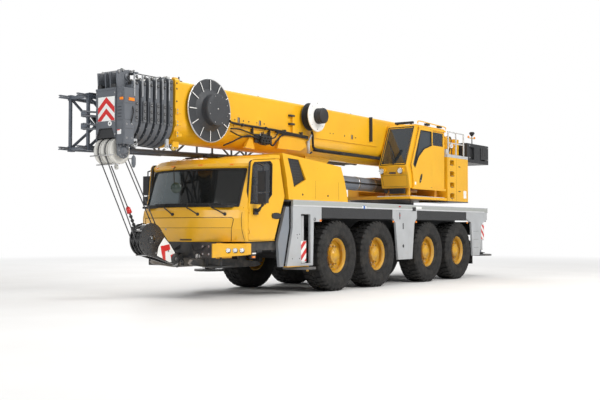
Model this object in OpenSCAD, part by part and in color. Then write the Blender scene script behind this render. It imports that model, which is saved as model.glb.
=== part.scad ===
/* [Wheels and axles] */
// Radius of the tyres out to the tips of the tread
tyre_r = 745; // [700:1:780]
// Width of a tyre across its side walls
tyre_w = 525; // [480:1:560]
// Radius of the rim's outer flange
rim_r = 385; // [360:1:400]
// Depth of the rim's flange inside the tyre's outer side
rim_inset = 78; // [50:1:100]
// Width over the outer sides of the tyres
tyres_over_w = 2700; // [2660:1:2760]
// Distance from the first to the second axle
axle_gap_front = 1650; // [1600:1:1750]
// Distance from the second to the third axle
axle_gap_middle = 2440; // [2400:1:2600]
// Distance from the third to the fourth axle
axle_gap_rear = 1650; // [1600:1:1750]
// Distance of the steering pins from the centre plane
kingpin_x = 900; // [880:1:915]
// Radius of the steering pins
kingpin_r = 45; // [35:1:55]
// Radius of the spindle that carries each wheel
spindle_r = 90; // [70:1:100]

/* [Chassis] */
// Width of the main frame
frame_w = 800; // [700:1:840]
// Height of the main frame's underside
frame_bottom = 1000; // [980:1:1060]
// Height of the top of the deck
deck_top = 1880; // [1860:1:1900]
// Width over the deck and the fenders
deck_w = 2700; // [2660:1:2760]
// Thickness of the deck plate
deck_plate = 30; // [20:1:40]
// Height of the deck's edge rail
deck_rail_h = 130; // [100:1:150]
// Thickness of the fender posts and the side panels
skin_t = 50; // [40:1:60]
// First axle to the centre of the front outriggers, forward
outrigger_front = 1220; // [1190:1:1240]
// First axle to the centre of the rear outriggers, back
outrigger_rear = 7320; // [7300:1:7340]

/* [Outriggers] */
// Width of an outrigger beam
beam_w = 150; // [130:1:160]
// Height of an outrigger beam
beam_h = 260; // [220:1:280]
// Height of an outrigger beam's underside
beam_bottom = 1180; // [1160:1:1200]
// Radius of the jack's outer tube
jack_tube_r = 90; // [80:1:95]
// Radius of the jack's rod
jack_rod_r = 60; // [50:1:65]
// Distance of the jacks from the centre plane, drawn in
jack_x = 1190; // [1150:1:1210]
// Radius of the float under each jack
float_r = 335; // [300:1:340]
// Height of the left front float's underside, drawn up
float_front_left_z = 500; // [480:1:510]
// Height of the right front float's underside, drawn up
float_front_right_z = 400; // [380:1:510]
// Height of the rear floats' undersides, drawn up
float_rear_z = 570; // [560:1:580]

/* [Driver's cab] */
// First axle to the nose of the cab, forward
cab_nose = 3500; // [3450:1:3550]
// Width of the driver's cab
cab_w = 2600; // [2560:1:2640]
// Radius of the cab's front in plan
cab_plan_r = 2400; // [2200:1:2800]
// Thickness of the cab's walls
cab_wall = 50; // [40:1:55]
// Thickness of a cab door
door_t = 60; // [56:1:70]
// Radius of the door's hinge pins
hinge_pin_r = 8; // [6:1:9]

/* [Superstructure] */
// First axle to the slewing centre, back
slew_back = 4000; // [3950:1:4050]
// Radius of the slewing ring
slew_ring_r = 800; // [750:1:820]
// Slewing centre to the boom's pivot, back
pivot_back = 2000; // [1980:1:2030]
// Height of the boom's pivot
pivot_z = 3300; // [3280:1:3320]
// Radius of the boom's pivot pin
pivot_pin_r = 70; // [60:1:80]
// Slewing centre to the end of the counterweight, back
tail_back = 3950; // [3930:1:4000]
// Width of the counterweight
counterweight_w = 2400; // [2300:1:2500]
// Height of the counterweight
counterweight_h = 525; // [480:1:560]
// Slewing centre to the winch's shaft, back
winch_back = 3150; // [3140:1:3180]
// Radius of the winch drum's flanges
winch_r = 290; // [260:1:300]

/* [Crane cab] */
// Outer side of the crane cab from the centre plane
crane_cab_out = 1250; // [1230:1:1270]
// Inner side of the crane cab from the centre plane
crane_cab_in = 435; // [430:1:450]
// Slewing centre to the crane cab's rear wall, back
crane_cab_back = 1190; // [1180:1:1200]
// Height of the crane cab's underside
crane_cab_z = 2300; // [2290:1:2310]
// Height of the crane cab's roof
crane_cab_top = 3880; // [3860:1:3900]
// Thickness of the crane cab's walls
crane_wall = 45; // [40:1:50]

/* [Boom] */
// Pivot to the front face of the base section's flange
boom_reach = 10050; // [10030:1:10200]
// Length of the base section behind its pivot
boom_tail = 300; // [250:1:320]
// Width of the base section
boom_w = 800; // [780:1:810]
// Height of the base section
boom_h = 1120; // [1090:1:1130]
// Height of the base section's top above the pivot
boom_top = 720; // [700:1:730]
// Thickness of a boom section's wall
boom_wall = 14; // [10:1:16]
// Reduction of each section on every side
section_step = 34; // [31:1:36]
// Distance from one collar to the next
collar_pitch = 165; // [150:1:180]
// Thickness of a collar along the boom
collar_t = 105; // [80:1:115]
// Width over the collars
collar_w = 920; // [880:1:940]
// Height of the base section's flange above the boom's top
collar_rise = 25; // [20:1:35]
// Depth of the collars below the boom's belly
collar_drop = 125; // [110:1:130]
// Length of the outermost sliding section
section_len = 9500; // [9300:1:9600]
// Length of the boom head from the last collar
head_len = 260; // [220:1:300]
// Width of the boom head's front plate
head_w = 490; // [460:1:520]
// Radius of the head's rope sheaves
head_sheave_r = 225; // [210:1:230]
// Radius of the hose reel
hose_reel_r = 600; // [560:1:610]
// Radius of the cable reel's flange
cable_reel_r = 330; // [300:1:350]

/* [Luffing cylinder] */
// Slewing centre to the cylinder's foot, back
foot_back = 750; // [730:1:770]
// Height of the cylinder's foot
foot_z = 2390; // [2380:1:2400]
// Pivot to the rod's pin, forward along the boom
rod_pin_reach = 5400; // [5390:1:5450]
// Height of the rod's pin, boom down
rod_pin_z = 2440; // [2430:1:2450]
// Radius of the cylinder's barrel
barrel_r = 165; // [155:1:168]
// Radius of the cylinder's rod
rod_r = 105; // [95:1:112]

/* [Jib and hook block] */
// Length of the stowed lattice jib behind its hinge
jib_len = 8900; // [8600:1:9000]
// Width of the jib at its foot
jib_w = 470; // [450:1:480]
// Height of the jib at its foot
jib_h = 920; // [900:1:940]
// Forks of the jib ahead of the boom head
jib_fork = 200; // [180:1:230]
// Gap between the forks and the boom head when the jib is swung round
jib_swing_gap = 110; // [100:1:130]
// Radius of the hook block's cheeks
block_r = 300; // [290:1:310]
// Width over the hook block's cheeks
block_w = 260; // [250:1:300]

/* [Hidden] */
$fn = 64;

// Clearances: seated faces, running shafts, and moving pieces that pass each other
seat_gap = 0.3;
shaft_gap = 0.05;
pass_gap = 6;

// Everything is placed from the middle of the whole length, with the front at -Y
front_reach = boom_reach - slew_back - pivot_back + 6 * collar_pitch + head_len + jib_fork;
rear_reach = slew_back + tail_back;
first_axle_y = (front_reach - rear_reach) / 2;
axle_y = [first_axle_y,
          first_axle_y + axle_gap_front,
          first_axle_y + axle_gap_front + axle_gap_middle,
          first_axle_y + axle_gap_front + axle_gap_middle + axle_gap_rear];
slew_y = first_axle_y + slew_back;
pivot_y = slew_y + pivot_back;
wheel_x = (tyres_over_w - tyre_w) / 2;
deck_bottom = deck_top - deck_plate;
deck_front_y = first_axle_y - 1650;
deck_rear_y = first_axle_y + 7540;

// Turns an outline of [back from the first axle, height] into [y, z]
function from_axle(points) = [for (p = points) [first_axle_y + p[0], p[1]]];
// Turns an outline of [back from the slewing centre, height] into [y, z]
function from_slew(points) = [for (p = points) [slew_y + p[0], p[1]]];

// Draws a pane's outline in towards a point in its middle, so that it stands clear of its frame
function drawn_in(points, middle) = [for (p = points) p + 2 * seat_gap * (middle - p) / norm(middle - p)];
pane_t = 8;

// Pushes a [y, z] outline along X
module across(w, centred = true) {
  rotate([90, 0, 90]) linear_extrude(height = w, center = centred) children();
}
// Pushes an [x, z] outline along +Y from y0 to y1
module lengthways(y0, y1) {
  translate([0, y1, 0]) rotate([90, 0, 0]) linear_extrude(height = y1 - y0) children();
}
// A box between two corners
module box(a, b) {
  translate(a) cube(b - a);
}
// The same shape on both sides of the centre plane
module both_sides() {
  children();
  mirror([1, 0, 0]) children();
}
// A shape on the left as drawn, or mirrored to the right
module on_side(side) {
  if (side > 0) children();
  else mirror([1, 0, 0]) children();
}
// A round bar along X, centred at [y, z]
module x_bar(x0, x1, y, z, r) {
  translate([x0, y, z]) rotate([0, 90, 0]) cylinder(h = x1 - x0, r = r);
}
// An eight-sided tube of a lattice between two points
module lattice_bar(a, b, r) {
  d = b - a;
  sides = 8;
  translate(a) rotate([0, acos(d[2] / norm(d)), atan2(d[1], d[0])]) rotate([0, 0, 180 / sides])
    cylinder(h = norm(d), r = r, $fn = sides);
}

// ---------- Wheels, hubs and steering ----------
// Half of the tyre's section: [across from the middle, share of the tyre's height above the bead]
tyre_half = [[0, 1], [0.78, 0.985], [0.9, 0.93], [1, 0.55], [0.97, 0.35], [0.72, 0]];
rim_face = tyre_w / 2 - rim_inset;
bead_r = rim_r - 12;

module wheel_axis(n, side) {
  translate([side * wheel_x, axle_y[n], tyre_r]) rotate([0, side * 90, 0]) children();
}
module tyre(n, side) {
  half = tyre_w / 2;
  rise = tyre_r - bead_r;
  points = concat(
    [for (p = tyre_half) [bead_r + p[1] * rise, p[0] * half]],
    [for (i = [len(tyre_half) - 1:-1:1]) [bead_r + tyre_half[i][1] * rise, -tyre_half[i][0] * half]]);
  color([0.06, 0.06, 0.065]) wheel_axis(n, side) rotate_extrude($fn = 96) polygon(points);
}
module rim(n, side) {
  barrel_r0 = bead_r - seat_gap - 26;
  disc_z = rim_face - 130;
  color([0.95, 0.68, 0.05]) wheel_axis(n, side) difference() {
    union() {
      rotate_extrude($fn = 96) polygon([
        [barrel_r0, -rim_face], [bead_r - seat_gap, -rim_face], [bead_r - seat_gap, rim_face],
        [barrel_r0 + 8, rim_face],
        [barrel_r0, rim_face - 12]]);
      translate([0, 0, disc_z - 26]) cylinder(h = 26, r = barrel_r0 + 6);
      translate([0, 0, disc_z - 60]) cylinder(h = 60, r = 190);
      translate([0, 0, disc_z - 1]) cylinder(h = 105, r1 = 172, r2 = 160);
    }
    translate([0, 0, disc_z - 61]) cylinder(h = 101, r = spindle_r + shaft_gap);
  }
}
module knuckle(n, side) {
  disc_z = rim_face - 130;
  color([0.2, 0.2, 0.21]) on_side(side) translate([0, axle_y[n], tyre_r]) {
    translate([kingpin_x, 0, -190]) cylinder(h = 380, r = kingpin_r);
    translate([kingpin_x, 0, -94]) cylinder(h = 188, r = kingpin_r + 35);
    x_bar(kingpin_x, wheel_x + disc_z - 66, 0, 0, 88);
    x_bar(kingpin_x + kingpin_r + 42, wheel_x + disc_z - 66, 0, 0, 130);
    x_bar(kingpin_x, wheel_x + disc_z + 34, 0, 0, spindle_r);
  }
}

// ---------- Chassis ----------
// Height of the slewing ring's fixed half above the deck
ring_h = 70;
beam_gap = 15;
box_half_y = beam_w + beam_gap / 2 + pass_gap + 24;
// Middle of each outrigger box: [y, width of the box over the body]
outrigger_y = [first_axle_y - outrigger_front, first_axle_y + outrigger_rear];
box_x = jack_x - jack_tube_r - 14;
frame_front_y = first_axle_y - 2900;
frame_rear_y = first_axle_y + 7440;
// The frame drops to its nose just behind the cab
frame_step_y = first_axle_y - 1830;
nose_bottom = 780;

// Outrigger beam's centre along the body: the left beam lies ahead of the right one
function beam_y(end, side) = outrigger_y[end] - side * (beam_w + beam_gap) / 2;

module beam_channel(end, side) {
  box([-box_x - 1, beam_y(end, side) - beam_w / 2 - pass_gap, beam_bottom - seat_gap],
      [box_x + 1, beam_y(end, side) + beam_w / 2 + pass_gap, beam_bottom + beam_h + pass_gap]);
}
module chassis_frame() {
  color([0.17, 0.18, 0.19]) {
    difference() {
      union() {
        box([-frame_w / 2, frame_step_y, frame_bottom], [frame_w / 2, frame_rear_y, deck_bottom]);
        // Low nose under the cab
        across(frame_w) polygon(from_axle([[-2900, nose_bottom], [-1530, nose_bottom],
          [-1530, 1080 - seat_gap], [-2180, 1080 - seat_gap], [-2900, 1070.5 - seat_gap]]));
        for (y = outrigger_y)
          box([-box_x, y - box_half_y, beam_bottom - 40], [box_x, y + box_half_y, beam_bottom + beam_h + 60]);
        translate([0, slew_y, deck_bottom - 60])
          cylinder(h = deck_plate + ring_h + 60, r = slew_ring_r, $fn = 96);
        // Cross beams under the deck, which carry the deck's sides
        for (y = [deck_front_y + 60, (axle_y[0] + axle_y[1]) / 2, axle_y[1] + 1200, axle_y[2] + 100,
                  axle_y[3] - 825, deck_rear_y - 700])
          box([-deck_w / 2 + 120, y - 40, deck_bottom - 70], [deck_w / 2 - 120, y + 40, deck_bottom]);
      }
      for (end = [0, 1]) for (side = [-1, 1]) beam_channel(end, side);
      box([-frame_w / 2 + 30, frame_step_y - 1, frame_bottom + 30],
          [frame_w / 2 - 30, outrigger_y[0] - box_half_y - 40, deck_bottom - 30]);
      box([-frame_w / 2 + 30, outrigger_y[0] + box_half_y + 40, frame_bottom + 30],
          [frame_w / 2 - 30, slew_y - slew_ring_r - 200, deck_bottom - 30]);
    }
    // Dark panels under the deck's edge, between the fender posts
    both_sides() for (span = side_panel_spans)
      box([deck_w / 2 - skin_t, first_axle_y + span[0], side_panel_bottom],
          [deck_w / 2, first_axle_y + span[1], post_top]);
  }
}
side_panel_bottom = 1525;
// Dark side panels: [front, rear] behind the first axle
side_panel_spans = [[-650, 2240], [3440, 6170]];

// Fender posts as outlines of [back from the first axle, height]
post_top = deck_top - deck_rail_h;
front_post = [[-1850, 580], [-970, 570], [-940, 1450], [-660, 1450], [-660, post_top], [-1660, post_top],
              [-1660, 1320]];
middle_post = [[2510, 590], [3190, 590], [3300, 1450], [3430, 1560], [3430, post_top], [2250, post_top],
               [2250, 1560], [2390, 1450]];
rear_post = [[6560, 590], [6990, 590], [7110, 1000], [7110, 1440], [7300, 1490], [7490, 1560],
             [7490, post_top], [6180, post_top], [6180, 1560], [6480, 1480]];

module deck_and_fenders() {
  color([0.62, 0.63, 0.63]) {
    difference() {
      union() {
        box([-deck_w / 2, deck_front_y, deck_bottom], [deck_w / 2, deck_rear_y, deck_top]);
        both_sides() {
          box([deck_w / 2 - skin_t, deck_front_y, post_top], [deck_w / 2, deck_rear_y, deck_bottom]);
          for (post = [front_post, middle_post, rear_post])
            translate([deck_w / 2 - skin_t, 0, 0]) across(skin_t, false) polygon(from_axle(post));
        }
        box([-deck_w / 2, deck_rear_y - 40, post_top], [deck_w / 2, deck_rear_y, deck_bottom]);
      }
      translate([0, slew_y, deck_bottom - 1])
        cylinder(h = deck_plate + 2, r = slew_ring_r + seat_gap, $fn = 96);
      // Slots in the front posts that the jacks stand in
      box([-deck_w / 2 - 1, outrigger_y[0] - 164, 620], [deck_w / 2 + 1, outrigger_y[0] + 164, 1600]);
    }
  }
}

// ---------- Outriggers ----------
// Lower end of the jack's outer tube and of its warning plate, at the front and at the rear
tube_low = [620, 760];
plate_low = [640, 1000];
tube_top = 1570;
rod_top = 1490;
function float_z(end, side) = end == 1 ? float_rear_z : side > 0 ? float_front_left_z : float_front_right_z;

module outrigger_beam(end, side) {
  y = beam_y(end, side);
  jack_y = outrigger_y[end];
  low = tube_low[end];
  color([0.62, 0.63, 0.63]) on_side(side) {
    difference() {
      union() {
        box([-box_x + 30, y - beam_w / 2, beam_bottom], [box_x + 14, y + beam_w / 2, beam_bottom + beam_h]);
        box([box_x + 8, jack_y - jack_tube_r, beam_bottom],
            [jack_x, jack_y + jack_tube_r, beam_bottom + beam_h]);
        translate([jack_x, jack_y, low]) cylinder(h = tube_top - low, r = jack_tube_r);
        // Plate outside the jack that carries the warning stripes
        box([jack_x + jack_tube_r - 20, jack_y - 95, plate_low[end]],
            [jack_x + jack_tube_r + 12, jack_y + 95, plate_low[end] + 430]);
      }
      translate([jack_x, jack_y, low - 1]) cylinder(h = rod_top + 20 - low, r = jack_rod_r + 12);
    }
    // Gland at the tube's lower end
    translate([jack_x, jack_y, 0]) difference() {
      translate([0, 0, low]) cylinder(h = 60, r = jack_rod_r + 13);
      translate([0, 0, low - 1]) cylinder(h = 62, r = jack_rod_r + shaft_gap);
    }
  }
}
module jack(end, side) {
  z = float_z(end, side);
  color([0.35, 0.36, 0.37]) on_side(side) translate([jack_x, outrigger_y[end], 0]) {
    translate([0, 0, z + 40]) cylinder(h = rod_top - z - 40, r = jack_rod_r);
    translate([0, 0, z]) cylinder(h = 45, r = float_r);
    translate([0, 0, z + 44]) cylinder(h = 60, r1 = 120, r2 = jack_rod_r + 8);
  }
}

// ---------- Axles and engine ----------
// Ends of an axle's two yoke arms, above and below its middle
yoke_z = [[-180, -100], [100, 180]];
strut_x = frame_w / 2 + 55;

module drivetrain() {
  color([0.2, 0.2, 0.21]) {
    for (n = [0:3]) translate([0, axle_y[n], tyre_r]) {
      difference() {
        union() {
          // Beam with the differential in its middle
          x_bar(-kingpin_x + 120, kingpin_x - 120, 0, 0, 85);
          x_bar(-150, 150, 0, 0, 215);
          x_bar(-260, 260, 0, 0, 150);
          both_sides() {
            box([kingpin_x - 150, -60, yoke_z[0][0]], [kingpin_x - 110, 60, yoke_z[1][1]]);
            for (z = yoke_z) {
              box([kingpin_x - 111, -60, z[0]], [kingpin_x, 60, z[1]]);
              translate([kingpin_x, 0, z[0] + 2]) cylinder(h = z[1] - z[0] - 4, r = kingpin_r + 30);
            }
            // Suspension strut up to the main frame, and its top arm
            translate([strut_x, 0, 0]) cylinder(h = 610, r = 45);
            box([frame_w / 2 + seat_gap, -55, 560], [strut_x + 55, 55, 620]);
          }
        }
        both_sides() translate([kingpin_x, 0, -200]) cylinder(h = 400, r = kingpin_r + shaft_gap);
      }
    }
    // Engine block
    box([-380, first_axle_y - 1550, deck_top + seat_gap], [380, first_axle_y - 150, deck_top + 560]);
  }
}

// ---------- Driver's cab ----------
cab_front_y = first_axle_y - cab_nose;
cab_plan_y = cab_front_y + cab_plan_r;
cab_floor = 1060;
// Front of the cab on its centre line: [setback from the nose, height]
cab_nose_line = [[90, cab_floor], [10, 1300], [0, 1500], [25, 1655], [70, 1715], [275, 2440], [235, 2475],
                 [225, 2530], [330, 2625], [600, 2680]];
// Side of the cab: [back from the first axle, height]
cab_side = [[-3700, cab_floor], [-2180, cab_floor + 20], [-1840, 1930], [-2030, 2740], [-3000, 2665],
            [-3700, 2640]];
// The same side, drawn in by the walls
cab_inside = [[-3700, cab_floor + cab_wall], [-2213, cab_floor + 20 + cab_wall], [-1840 - cab_wall - 5, 1930],
              [-2030 - cab_wall, 2740 - cab_wall], [-3000, 2665 - cab_wall], [-3700, 2640 - cab_wall]];

module cab_solid(side_line, width, inset) {
  top = 2800;
  intersection() {
    across(width) polygon(from_axle(side_line));
    translate([0, cab_plan_y, 0]) rotate_extrude($fn = 180) polygon(concat(
      [[0, cab_floor - 1]],
      [[cab_plan_r - cab_nose_line[0][0] - inset, cab_floor - 1]],
      [for (p = cab_nose_line) [cab_plan_r - p[0] - inset, p[1]]],
      [[cab_plan_r - 600 - inset, top], [0, top]]));
  }
}
// Windscreen opening: heights and half width
windscreen_z = [1730, 2425];
windscreen_x = 1175;
door_x = cab_w / 2 - door_t;
door_gap = 12;
// Cab door: [back from the first axle, height]
door_front = -2985;
door_line = [[door_front, 1100], [-2195, 1100], [-1865, 1930], [-2035, 2655], [-2850, 2590],
             [-2900, 2540], [door_front, 1760]];
door_recess = [[door_front - door_gap, 1100 - door_gap], [-2150, 1100 - door_gap], [-1700, 1930],
               [-1700, 2655 + door_gap], [-2035, 2655 + door_gap], [-2855, 2590 + door_gap],
               [-2900 - door_gap, 2545 + door_gap], [door_front - door_gap, 1760 + door_gap]];
door_window = [[-2920, 1775], [-2480, 1775], [-2285, 1960], [-2270, 2545], [-2330, 2590], [-2810, 2540],
               [-2855, 2480]];
// Door hinge pins: heights, and their axis from the door's outer side and front edge
hinge_z = [1250, 1640];
hinge_in = 15;
ear_h = 60;

module seat(x, y, z) {
  box([x - 230, y - 230, z], [x + 230, y + 240, z + 420]);
  translate([x, y, 0]) across(460)
    polygon([[130, z + 400], [240, z + 400], [330, z + 1050], [230, z + 1050]]);
}
module carrier_cab() {
  color([0.95, 0.68, 0.05]) {
    difference() {
      cab_solid(cab_side, cab_w, 0);
      cab_solid(cab_inside, cab_w - 2 * cab_wall, cab_wall);
      box([-windscreen_x, cab_front_y - 10, windscreen_z[0]],
          [windscreen_x, cab_front_y + 700, windscreen_z[1]]);
      both_sides() translate([door_x - pass_gap, 0, 0]) across(door_t + pass_gap + 1, false)
        polygon(from_axle(door_recess));
      // Window in the rear wall
      box([-500, first_axle_y - 2100, 2050], [500, first_axle_y - 1800, 2500]);
    }
    // Hinge ears and pins of both doors
    both_sides() for (z = hinge_z)
      translate([cab_w / 2 - hinge_in, first_axle_y + door_front + hinge_in, z]) {
        translate([0, 0, -ear_h / 2]) cylinder(h = ear_h, r = hinge_pin_r + 5);
        translate([0, 0, -ear_h]) cylinder(h = 2 * ear_h, r = hinge_pin_r);
        box([-hinge_pin_r - 4, -hinge_in - door_gap - 15, -ear_h / 2], [hinge_in - 3, 0, ear_h / 2]);
      }
    // Seats, dashboard and steering wheel, which show through the glass
    for (x = [-620, 620]) seat(x, first_axle_y - 2480, cab_floor + cab_wall);
    box([-1150, first_axle_y - 3150, cab_floor + cab_wall - 1], [1150, first_axle_y - 2960, 1650]);
    translate([620, first_axle_y - 2985, 1600]) rotate([55, 0, 0]) {
      rotate_extrude($fn = 48) translate([215, 120]) circle(r = 16, $fn = 24);
      cylinder(h = 130, r = 40);
      for (a = [0, 120, 240]) rotate([0, 0, a]) box([0, -15, 106], [215, 15, 126]);
    }
  }
}
module cab_glass() {
  g = seat_gap;
  pane = 14;
  low = windscreen_z[0] + g;
  high = windscreen_z[1] - g;
  slope = (275 - 70) / (2440 - 1715);
  low_r = cab_plan_r - 70 - (low - 1715) * slope - 6;
  high_r = cab_plan_r - 70 - (high - 1715) * slope - 6;
  color([0.25, 0.33, 0.37, 0.5]) {
    intersection() {
      translate([0, cab_plan_y, 0]) rotate_extrude($fn = 180)
        polygon([[low_r - pane, low], [low_r, low], [high_r, high], [high_r - pane, high]]);
      box([-windscreen_x + g, cab_front_y - 10, low - 1], [windscreen_x - g, cab_front_y + 700, high + 1]);
    }
  }
}
module cab_door(side) {
  color([0.95, 0.68, 0.05]) on_side(side) {
    difference() {
      translate([door_x, 0, 0]) across(door_t, false) polygon(from_axle(door_line));
      translate([door_x - 1, 0, 0]) across(door_t + 2, false) polygon(from_axle(door_window));
      for (z = hinge_z) translate([cab_w / 2 - hinge_in, first_axle_y + door_front + hinge_in, z]) {
        translate([0, 0, -ear_h / 2 - 6]) cylinder(h = ear_h + 12, r = hinge_pin_r + 12);
        box([-hinge_pin_r - 12, -hinge_in - 1, -ear_h / 2 - 6], [hinge_in + 1, 0, ear_h / 2 + 6]);
        translate([0, 0, -ear_h - 6]) cylinder(h = 2 * ear_h + 12, r = hinge_pin_r + shaft_gap);
      }
    }
    // The pane, held in the frame
    translate([door_x + 20, 0, 0]) across(pane_t, false)
      polygon(from_axle(drawn_in(door_window, [-2600, 2180])));
    // Door handle
    box([cab_w / 2 - 1, first_axle_y - 2270, 1510], [cab_w / 2 + 22, first_axle_y - 1990, 1600]);
    // The two mirrors, one above the other on their arm
    box([cab_w / 2 - 1, mirror_y - 60, 1570], [cab_w / 2 + 40, mirror_y + 60, 1680]);
    lattice_bar([cab_w / 2 + 25, mirror_y, 1640], [mirror_x, mirror_y, 1740], 16);
    lattice_bar([mirror_x, mirror_y, 1725], [mirror_x, mirror_y, 2480], 14);
    lattice_bar([mirror_x, mirror_y, 2470], [cab_w / 2 - 8, mirror_y + 60, 2540], 14);
    box([mirror_x - mirror_w / 2, mirror_y - 45, 1990], [mirror_x + mirror_w / 2, mirror_y + 45, 2380]);
    box([mirror_x - mirror_w / 2, mirror_y - 45, 1780], [mirror_x + mirror_w / 2, mirror_y + 45, 1965]);
  }
}
mirror_x = cab_w / 2 + 195;
mirror_y = first_axle_y - 2790;
mirror_w = 190;

// ---------- Bumper and engine cover ----------
member_y = first_axle_y - 3400;
crosshead = [first_axle_y - 3700, 750];
crosshead_r = 80;
module front_bumper() {
  color([0.12, 0.12, 0.13]) {
    // Cross member under the cab, with a slot that the hook rises through, and the arms that carry it
    difference() {
      box([-lamp_box_in, member_y, 760], [lamp_box_in, first_axle_y - 2950, cab_floor - seat_gap]);
      box([-46, member_y - 1, 759], [46, member_y + 52, 850]);
    }
    both_sides() {
      // Tongue that the hook block's crosshead rests against
      translate([48, 0, 0]) across(44, false) polygon([
        [crosshead[0] + crosshead_r + seat_gap, 732], [crosshead[0] + crosshead_r + seat_gap, 764],
        [member_y + 1, 860], [member_y + 1, 765], [member_y - 60, 732]]);
      box([frame_w / 2 + seat_gap, first_axle_y - 3000, 900],
          [1230, first_axle_y - 2000, cab_floor - seat_gap]);
      // Corner box with the lamps, whose face looks out to the side
      difference() {
        translate([0, 0, 775]) linear_extrude(height = 260) translate([0, first_axle_y]) polygon([
          [lamp_box_in - 1, -3520], [lamp_box_in + 20, -3520], [1300, -3020], [1300, -2900],
          [lamp_box_in - 1, -2900]]);
        across(3000) polygon(from_axle([[-3560, 774], [-2890, 774], [-2890, 835]]));
        for (at = lamp_at) translate([at[0], first_axle_y + at[1], 905]) rotate([0, 90, -38.7])
          translate([0, 0, -30]) cylinder(h = 80, r = 50);
      }
      // Grey beam under the bumper
      translate([450, 0, 0]) across(90, false) polygon(from_axle([[-3700, 680], [-3640, 740], [-2650, 740],
        [-1750, 660], [-1620, 600], [-1750, 560], [-3050, 560], [-3650, 640]]));
      box([470, first_axle_y - 3200, 700], [530, first_axle_y - 3000, 800]);
      box([470, first_axle_y - 2300, 660], [530, first_axle_y - 2100, 950]);
      // Splash guard behind the cab
      translate([deck_w / 2 - 110, 0, 0]) across(60, false) polygon(from_axle(
        [[-2020, 570], [-1900, 570], [-1715, 1320], [-1715, 1740], [-1820, 1740], [-2080, 1040]]));
      box([frame_w / 2 + 1, first_axle_y - 2000.5, 960], [deck_w / 2 - 100, first_axle_y - 1900, 1040]);
    }
  }
}
lamp_box_in = 880;
// Lamps in the face of a corner box: [out from the centre plane, back from the first axle]
lamp_at = [[1070, -3285], [1150, -3185], [1230, -3085]];
// Engine cover from the side: [back from the first axle, height]
cover_line = [[-1790, 1880], [340, 1880], [300, 2070], [110, 2620], [-1955, 2780]];
cover_inside = [[-1750, 1880], [295, 1880], [258, 2062], [82, 2580], [-1905, 2735]];
// Engine cover from the front: [out from the centre plane, height]
cover_half = [[1350, 0], [1350, 430], [1310, 950]];
module cover_solid(line, inset, base) {
  intersection() {
    across(3000) polygon(from_axle(line));
    lengthways(first_axle_y - 3000, first_axle_y + 1000) polygon(concat(
      [for (p = cover_half) [p[0] - inset, base + p[1]]],
      [for (i = [2:-1:0]) [inset - cover_half[i][0], base + cover_half[i][1]]]));
  }
}
module engine_cover() {
  color([0.95, 0.68, 0.05]) translate([0, 0, seat_gap]) difference() {
    cover_solid(cover_line, 0, deck_top);
    difference() {
      cover_solid(cover_inside, 40, deck_top - 5);
      // Stiffening rib across the cover
      box([-1400, first_axle_y - 60, deck_top], [1400, first_axle_y - 20, deck_top + 900]);
    }
    // Recess of the air intake on both sides
    both_sides() translate([1300, 0, 0]) across(60, false) polygon(from_axle(
      [[-1790, 2690], [-1420, 2680], [-1210, 2290], [-1620, 2120]]));
  }
}

// ---------- Superstructure ----------
platform_z = [deck_top + 155, deck_top + 240];
cheek_t = 55;
cheek_x = boom_w / 2 + 10;
tail_y = slew_y + tail_back;
winch_y = slew_y + winch_back;
winch_z = 3420;
counterweight_z = 3115;
box_front = 1280;
box_rear = 2500;
// Cheek plates that carry the boom, the winch and the counterweight: [back from the slewing centre, height]
cheek_line = [[-400, platform_z[1] - 1], [-400, platform_z[1] + 130], [1150, platform_z[1] + 130],
              [1560, 2750], [1720, 3600], [2280, 3600], [2450, counterweight_z],
              [2880, counterweight_z], [2900, 3560],
              [3400, 3560], [3430, counterweight_z], [3750, counterweight_z], [3750, 2780],
              [2550, platform_z[1] - 1]];
step_z = [2169, 2452, 2742, 3031];

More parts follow.
